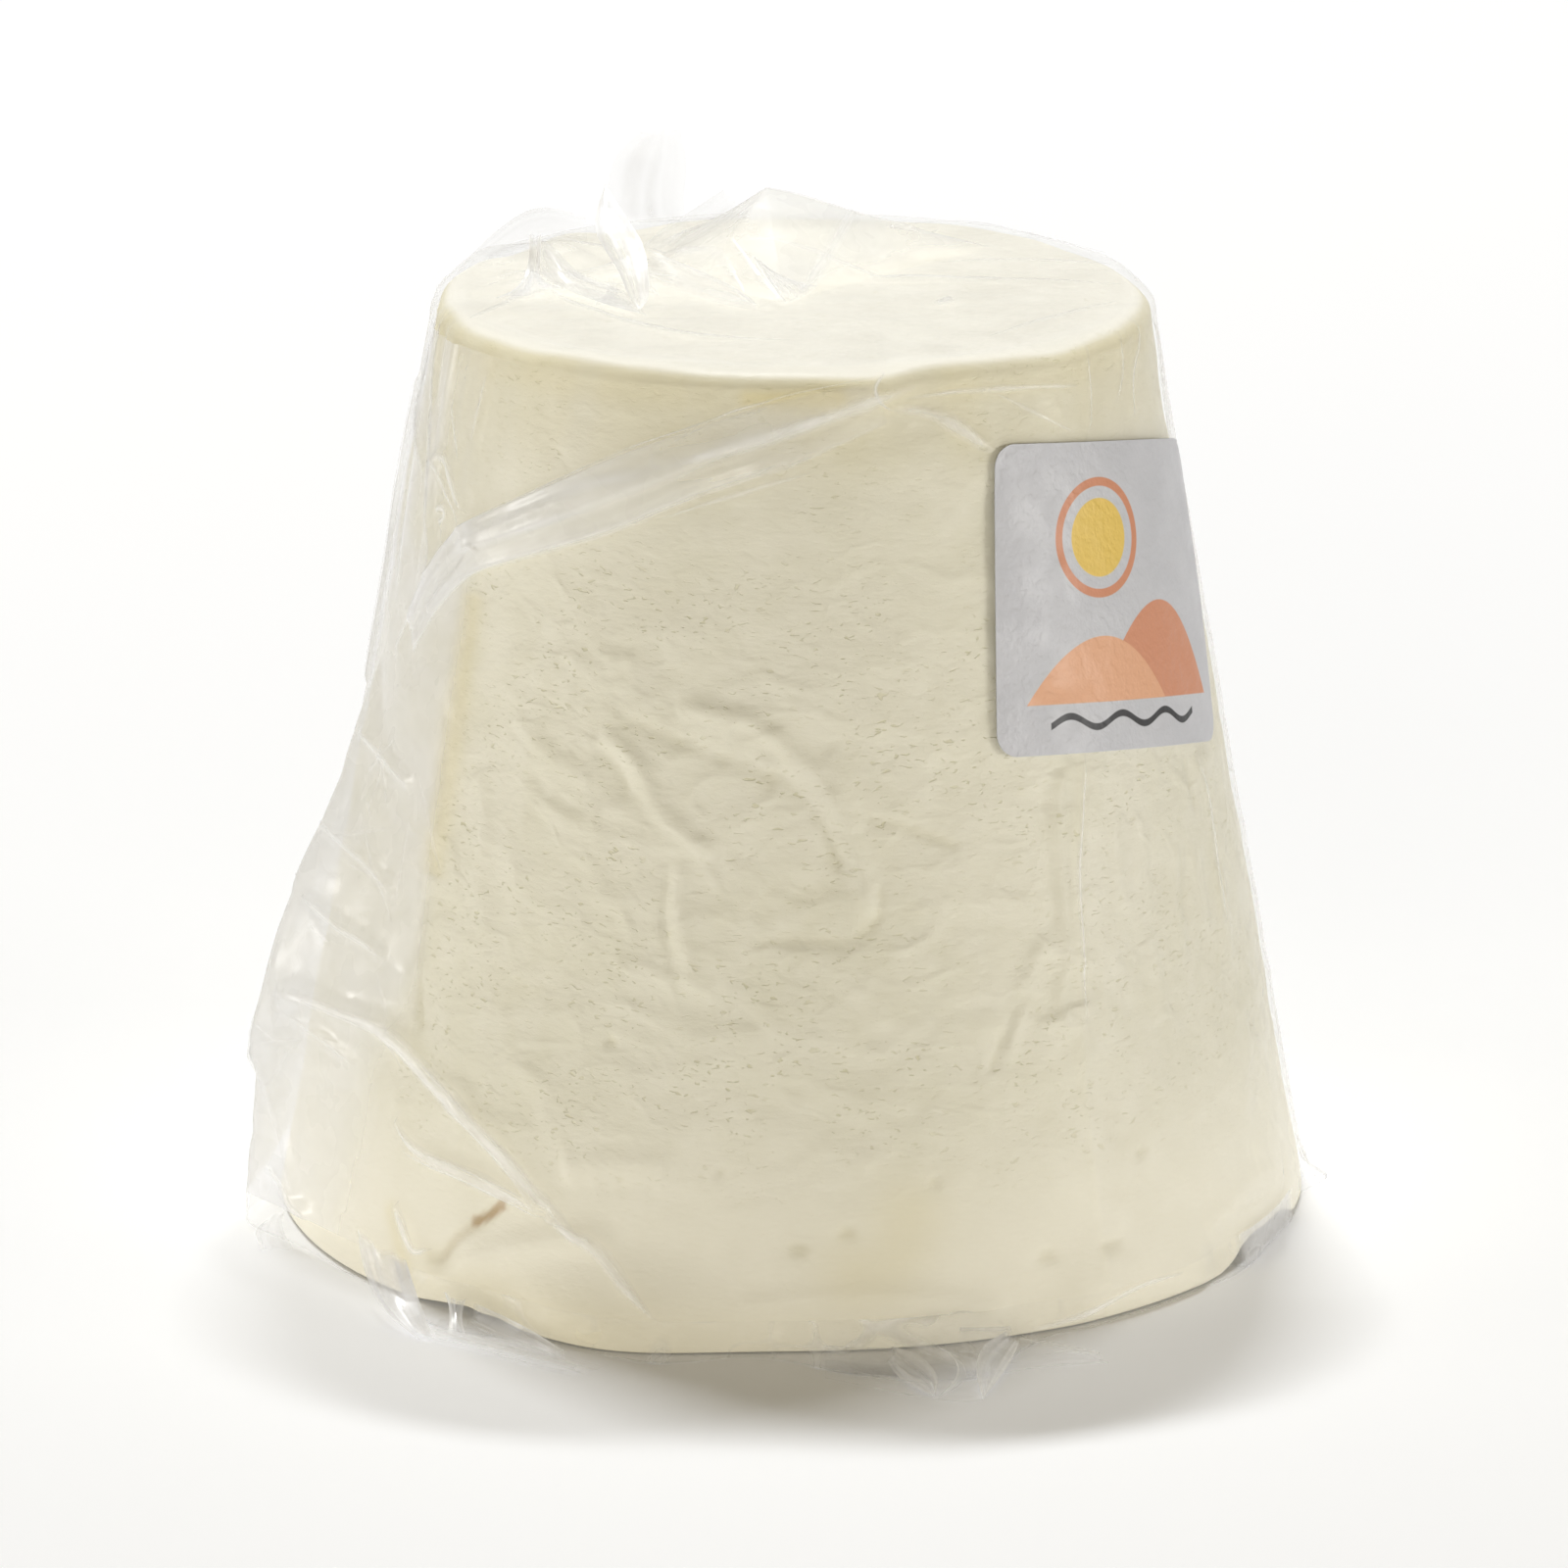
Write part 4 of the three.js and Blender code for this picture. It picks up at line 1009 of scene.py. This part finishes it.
def build_film_base(material):
    """The foot of the film: from under the cheese out along the floor, and up a pleated slope to the side.
    Pleats are clouds of numbers that stretch along the slope. The film is milky where it bridges a chip."""
    angle = turns(FILM_COLUMNS)
    start, _ = film_side(angle, SKIRT_JOINS)
    uneven = 0.7 * skin_cloud(angle, 0, 8, 5, 61) + 0.25 * skin_cloud(angle, 0, 3, 5, 62)
    reach = skirt_radius(angle) + uneven
    out = np.maximum(reach - start, 0)
    rows = [(0.5 * (reach - CHIP_DEPTH), FILM_BOTTOM - 0.02)]
    rows += [(reach - CHIP_DEPTH * (1 - share), FILM_BOTTOM) for share in np.linspace(0, 1, 12)]
    for share in np.linspace(0, 1, FILM_FOOT_ROWS)[1:]:
        wide, narrow = skin_cloud(angle, 6 * share, 3.2, 5, 63), skin_cloud(angle, 6 * share, 1.7, 4, 64)
        wave = math.sin(math.pi * share) * (0.35 + 0.22 * out) * (np.abs(wide) + 0.6 * np.abs(narrow))
        height = SLOPE_FOOT + (SKIRT_JOINS - SLOPE_FOOT) * share ** 1.5
        rows.append((start + (reach - start) * (1 - share) ** 2 + 0.3 * wave, height + wave))
    radius, z = stack_rows(rows, angle)
    bridges = smooth(chip_lift(angle), 0.8, 1.6)
    milk = np.clip(0.04 + 0.02 * out + 0.85 * bridges, 0, 0.9)
    # Pleat lines on the skirt, whiter where it reaches farther out, partly painted glints
    gap = np.abs(skin_cloud(angle, z * 2, 3.2, 5, 63)) * 6
    return add_film("film_base", polar(angle, radius, z), material, milk, gap, np.clip(0.1 * out, 0, 0.6),
                    low=(0, 0, FILM_BOTTOM - 0.04))


def tent_planes(ridges, foot):
    """The upward faces of the smallest solid round a tent's points, each as (a, b, c) in z = a x + b y +
    c."""
    form = bmesh.new()
    for corner in list(ridges) + [(x, y, HEIGHT) for x, y in foot]:
        form.verts.new(corner)
    bmesh.ops.convex_hull(form, input=form.verts)
    form.normal_update()
    planes = []
    for face in form.faces:
        n = face.normal
        if n.z > 1e-3:
            planes.append((-n.x / n.z, -n.y / n.z, face.verts[0].co.dot(n) / n.z))
    form.free()
    return planes


def film_top_height(x, y):
    """Height of the film over the top face, and how milky it is there. The height is the greatest of the
    tight film, the tent as the lowest of its planes, and the peaks as crest height times a hump of the
    distance, which is stretched and squeezed round the crest into pleats."""
    tight = HEIGHT + FILM
    height = tight + 0.12 * np.abs(cloud(x / 6 + 70, y / 5 + 70, 71))
    milk = 0.06
    for ridges, foot in TENTS:
        lowest = np.min([a * x + b * y + c for a, b, c in tent_planes(ridges, foot)], axis=0)
        stands = np.maximum(lowest - tight, 0)
        sag = 0.5 * np.abs(cloud(x / 7 + 70, y / 7 + 70, 74)) * smooth(stands, 0.3, 3)
        milk = milk + 0.5 * smooth(stands, 0, 1.5) * (0.8 + 0.5 * cloud(x / 5 + 70, y / 9 + 70, 76))
        height = np.maximum(height, tight + stands - sag)
    for crest, width, sharpness in PEAKS:
        gap, share = nearest(lambda p: p[0] - x, lambda p: p[1] - y, np.array(crest))
        top = np.interp(share, np.linspace(0, 1, len(crest)), [corner[2] for corner in crest])
        way = np.arctan2(y - crest[-1][1], x - crest[-1][0])
        pull = hump(gap * (1 + 0.2 * np.sin(5 * way + crest[0][0])), width, sharpness)
        milk = milk + 0.35 * pull
        height = np.maximum(height, tight + (top - tight) * pull)
    return height, np.clip(milk, 0, 0.8)


def build_film_top(material):
    """Rows of the film's top, from the side round the top edge by a quarter circle and in to the middle."""
    angle = turns(FILM_COLUMNS)
    start = HEIGHT - TOP_ROUNDING + FILM
    side, _ = film_side(angle, start)
    tight = film_radius(angle, start)
    edge, proud = tight - TOP_ROUNDING, side - tight
    rows = []
    for t in np.radians(np.linspace(0, 90, 13)):
        loose = 0.22 * np.abs(skin_cloud(angle, 12 * t, 7, 6, 77)) * np.sin(2 * t)
        rows.append((edge + (TOP_ROUNDING + loose + proud * np.cos(t)) * np.cos(t),
                     TOP_ROUNDING * (1 - np.sin(t)) - loose * np.sin(t)))
    rows += [(edge * share, 0) for share in np.linspace(1, 0, FILM_TOP_ROWS)[1:-1]]
    radius, drop = stack_rows(rows, angle)
    height, milk = film_top_height(*from_above(angle, radius))
    flat = smooth(TOP_ROUNDING - drop, TOP_ROUNDING - 1.5, TOP_ROUNDING)
    z = HEIGHT + FILM - drop + (height - HEIGHT - FILM) * flat
    return add_film("film_top", polar(angle, radius, z), material, milk * flat,
                    dull=smooth(radius - edge, -1.5, 0.2), high=(0, 0, float(z[-1].mean())))


def build_film_band(material):
    """The gathered band: a strip between its two edge lines over the film, bowed outwards as the root of a
    sine, with lengthwise pleats that swell and fade."""
    s = np.linspace(0, 1, BAND_STEPS)[None, :]
    t = np.linspace(0, 1, BAND_ACROSS)[:, None]
    lower, upper = (walk(rounded(line, 3), s) for line in (BAND_LOWER, BAND_UPPER))
    angle, z = (low + (high - low) * t for low, high in zip(lower, upper))
    under, _ = film_side(angle, z)
    pleats = cloud(s * 2 + 80, t * 6 + 80, 82)
    bow = np.sqrt(np.clip(np.sin(math.pi * t), 0, 1))
    ends = smooth(s, 0, 0.06) * (1 - smooth(s, 0.9, 1))
    radius = under + np.maximum(0.1 + bow * ends * (0.5 + 0.3 * pleats), 0.05)
    left = 1 - smooth(s, 0.2, 0.85)
    milk = np.clip(0.38 + 0.5 * left + 0.22 * pleats, 0, 1) * ends * ends_fade(t, 0.06)
    return add_film("film_band", polar(angle, radius, z), material, milk, closed=False)


# Millimetres to a degree round the middle of the side
SIDE_SCALE = 0.72


def ribbon(line, width, white, first_scale, surface, seed):
    """A crease as a thin raised strip on the film. Along it the half width is width times the root of a
    sine, and across it the lift is 1 - t². first_scale turns the line's first direction into millimetres,
    and surface gives the points from the places and the lift. Returns the points, the gap to the middle and
    the whiteness, which is partly a painted glint."""
    points = rounded(line)
    scale = np.array([first_scale, 1])
    run = np.concatenate([[0], np.cumsum(np.linalg.norm(np.diff(points, axis=0) * scale, axis=1))])
    share = np.linspace(0, 1, RIBBON_STEPS)
    length = share * run[-1]
    path = np.stack([np.interp(length, run, column) for column in points.T], -1) * scale
    wander = 0.06 * np.stack([cloud(length / 3 + 60, 0 * share + row, seed) for row in (61, 65)], -1)
    path = path + wander * ends_fade(share)[:, None]
    way = np.gradient(path, axis=0)
    way = way / (np.linalg.norm(way, axis=1, keepdims=True) + 1e-9)
    side = np.stack([-way[:, 1], way[:, 0]], -1)
    t = np.linspace(-1, 1, RIBBON_ACROSS)[:, None]
    uneven = cloud(length / 4 + 60, 0 * share + 3, seed)
    half = width * np.sqrt(np.sin(math.pi * np.clip(share, 0.002, 0.998))) * (1 + 0.35 * uneven)
    places = (path[None] + side[None] * (t * half)[..., None]) / scale
    lift = 0.05 + min(0.09, width / 7) * (1 - t ** 2) * ends_fade(share)
    shine = white * ends_fade(share, 0.2) * (0.74 + 0.26 * cloud(length / 2.5 + 60, 0 * share + 9, seed))
    return surface(places[..., 0], places[..., 1], lift), np.abs(t) + 0 * share, shine + 0 * t


def build_film_folds(material):
    """The standing folds in one piece: each is ruled between its two edges, bowed forwards by a sine and
    crossed by slow waves. Its edges are white lines, partly painted glints, and an edge that isn't white
    fades out."""
    s, t = np.meshgrid(np.linspace(0, 1, FOLD_STEPS), np.linspace(0, 1, FOLD_ACROSS))
    sheets = []
    for number, (first, second, milk, first_white, second_white) in enumerate(FOLDS_ON_TOP + FOLDS_AT_FOOT):
        one, other = (np.stack(walk(rounded(edge), s), -1) for edge in (first, second))
        points = one + (other - one) * t[..., None]
        waves = (0.5 * cloud(s * 3 + 60, t * 2.5 + 60, 75 + number)
                 + 0.25 * cloud(s * 3 + 60, t * 7 + 60, 85 + number))
        across = np.linalg.norm(other - one, axis=-1)
        bow = np.sin(math.pi * t) * np.minimum(across / 4, 1)
        points[..., 1] += bow * (waves - 0.6)
        points[..., 2] = np.maximum(points[..., 2] + 0.5 * bow * waves, 0.15)
        gap = np.minimum(t, 1 - t) * across / 0.6
        flow = 0.75 + 0.5 * cloud(s * 1.5 + 60, t * 9 + 60, 65 + number)
        for edge_white, away in ((first_white, t), (second_white, 1 - t)):
            if edge_white == 0:
                flow = flow * smooth(away, 0, 0.4)
        milk = milk * flow * smooth(s, 0, 0.2) * (1 - smooth(s, 0.75, 1))
        white = np.where(t < 0.5, first_white, second_white)
        white = white * (0.7 + 0.4 * cloud(s * 5 + 60, t + 60, 55 + number))
        sheets.append((points, milk, gap, white))
    points, milk, gap, white = (np.stack(part) for part in zip(*sheets))
    return add_film("film_folds", points, material, milk, gap, white, closed=False)


def side_point(angle, z, lift):
    """Points on the side's film with a lift, which is nearly none under the label."""
    return polar(angle, film_side(angle, z)[0] + 0.02 + lift * (1 - under_label(angle, z)), z)


def top_point(x, y, lift):
    """Points on the top's film with a lift."""
    return np.stack([x, y, film_top_height(x, y)[0] + lift], -1)


def build_film_creases(material):
    """All creases as thin strips in one piece."""
    on_side = [(line, width, white) for line, width, _, white in CREASES] + SIDE_STRAYS + BAND_CREASES
    strips = [ribbon(line, width, white, SIDE_SCALE, side_point, 90 + i)
              for i, (line, width, white) in enumerate(on_side)]
    strips += [ribbon(line, 1.5 * width, 0.75 * white, 1, top_point, 20 + i)
               for i, (line, width, white) in enumerate(TOP_CREASES)]
    points, gap, white = (np.stack(part) for part in zip(*strips))
    return add_film("film_creases", points, material, 0, gap, white, closed=False)


def on_cone(across, down):
    """A point of the flat paper as (angle, height) on the cone: the cone is rolled out flat, the paper is
    laid on it and the cone is rolled up again."""
    share = math.sin(math.atan(TAPER))
    turn = math.radians(LABEL_TURN)
    x = across * math.cos(turn) - down * math.sin(turn)
    y = across * math.sin(turn) + down * math.cos(turn)
    slant = cone_radius(LABEL_MIDDLE) / share + y
    z = (BASE_RADIUS - share * np.hypot(x, slant)) / TAPER
    return LABEL_ANGLE + np.degrees(np.arctan2(x, slant)) / share, z


def build_label(material):
    """The paper as a grid down and across its rounded outline, bent round the cone, with its thickness
    added inwards. Rows follow the corner's circle, so the outline stays smooth."""
    corner = LABEL_CORNER * (1 - np.cos(np.linspace(0, math.pi / 2, CORNER_ROWS)))
    half = LABEL_HEIGHT / 2
    straight = np.linspace(-half + LABEL_CORNER, half - LABEL_CORNER, LABEL_ROWS)[1:-1]
    down = np.concatenate([-half + corner, straight, (half - corner)[::-1]])[:, None]
    into = np.maximum(0, np.abs(down) - (half - LABEL_CORNER))
    width = LABEL_WIDTH / 2 - LABEL_CORNER + np.sqrt(np.maximum(0, LABEL_CORNER ** 2 - into ** 2))
    across = width * np.concatenate([[1], np.linspace(0.998, -0.998, LABEL_COLUMNS), [-1]])[None, :]
    down = down + 0 * across
    angle, z = on_cone(across, down)
    ripple = 0.03 * cloud(across / 5 + 60, down / 7 + 60, 91)
    under, _ = film_side(angle, z)
    radius = under + LABEL_GAP + LABEL_PAPER + ripple
    piece = add_piece("label_paper", polar(angle, radius, z), material, "label", "label", closed=False,
                      values={"across": across, "down": down})
    wall = piece.modifiers.new("paper thickness", "SOLIDIFY")
    wall.thickness = LABEL_PAPER * MM
    wall.offset = -1
    return piece


FLOOR_HALF_SIDE = 3.0
FLOOR_COLOUR = (0.955, 0.96, 0.985, 1)


def build_stage():
    """A wide pale floor."""
    material, tree, shader, _ = new_material("pale floor")
    feed(tree, shader, {"Base Color": FLOOR_COLOUR, "Roughness": 0.9, "Specular IOR Level": 0.1})
    mesh = bpy.data.meshes.new("floor")
    far = FLOOR_HALF_SIDE
    mesh.from_pydata([(-far, -far, 0), (far, -far, 0), (far, far, 0), (-far, far, 0)], [], [(0, 1, 2, 3)])
    mesh.materials.append(material)
    floor = bpy.data.objects.new("floor", mesh)
    bpy.context.scene.collection.objects.link(floor)
    floor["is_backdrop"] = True


# The camera that the photograph's perspective gives: focal length and sensor in millimetres, place in
# metres and tilt below level in radians
FOCAL_LENGTH, SENSOR = 202.14, 36
CAMERA_PLACE, CAMERA_TILT = (-0.000727, -0.8, 0.27215), 0.283


def build_camera():
    """The camera, which looks towards +Y and down."""
    lens = bpy.data.cameras.new("camera")
    lens.lens = FOCAL_LENGTH
    lens.sensor_width = SENSOR
    camera = bpy.data.objects.new("camera", lens)
    camera.location = CAMERA_PLACE
    camera.rotation_euler = (math.pi / 2 - CAMERA_TILT, 0, 0)
    bpy.context.scene.collection.objects.link(camera)
    bpy.context.scene.camera = camera


# Soft lights with straight sides: place, height of the target on the axis, width and depth in metres, watts
# and colour
LIGHTS = {
    "top light at the left": ((-0.3, 0.88, 2.05), 0.02, 0.4, 0.1, 27.8, (0.965, 0.985, 1.0)),
    "top light at the right": ((0.38, 0.86, 2.05), 0.02, 0.34, 0.1, 15.2, (0.965, 0.985, 1.0)),
    "front light": ((-0.4, -1.5, 0.18), 0.04, 0.5, 0.3, 6.0, (1.0, 0.965, 0.89)),
    "left light": ((-1.25, -0.1, 0.14), 0.04, 0.5, 0.24, 4.0, (1, 0.99, 0.97)),
    "right light": ((1.2, -0.35, 0.14), 0.04, 0.5, 0.24, 4.8, (1, 0.985, 0.95)),
}
SURROUND_COLOUR, SURROUND_STRENGTH = (1.0, 0.82, 0.46, 1), 0.145


def build_light():
    """A dim warm surround, and soft lights from above and behind, from the front and from both sides."""
    world = bpy.data.worlds.new("warm surround")
    bpy.context.scene.world = world
    world.use_nodes = True
    surround = {"Color": SURROUND_COLOUR, "Strength": SURROUND_STRENGTH}
    feed(world.node_tree, world.node_tree.nodes["Background"], surround)
    for name, (place, target, width, depth, power, colour) in LIGHTS.items():
        lamp = bpy.data.lights.new(name, "AREA")
        lamp.shape = "RECTANGLE"
        lamp.size, lamp.size_y = width, depth
        lamp.energy = power
        lamp.color = colour
        light = bpy.data.objects.new(name, lamp)
        light.location = place
        way = np.array([0, 0, target]) - np.array(place)
        tilt = math.acos(-way[2] / np.linalg.norm(way))
        light.rotation_euler = (tilt, 0, math.atan2(way[0], -way[1]) + math.pi)
        bpy.context.scene.collection.objects.link(light)
    bpy.context.scene.view_settings.view_transform = "Standard"


build_camera()
build_light()
build_stage()
build_cheese(cheese_material())
film = film_material()
build_film_side(film)
build_film_base(film)
build_film_top(film)
build_film_band(film)
build_film_creases(film)
build_film_folds(film)
build_label(label_material())

sizes = {"cad": [list(map(float, corner)) for corner in cad_box],
         "visual": [list(map(float, corner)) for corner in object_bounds()]}
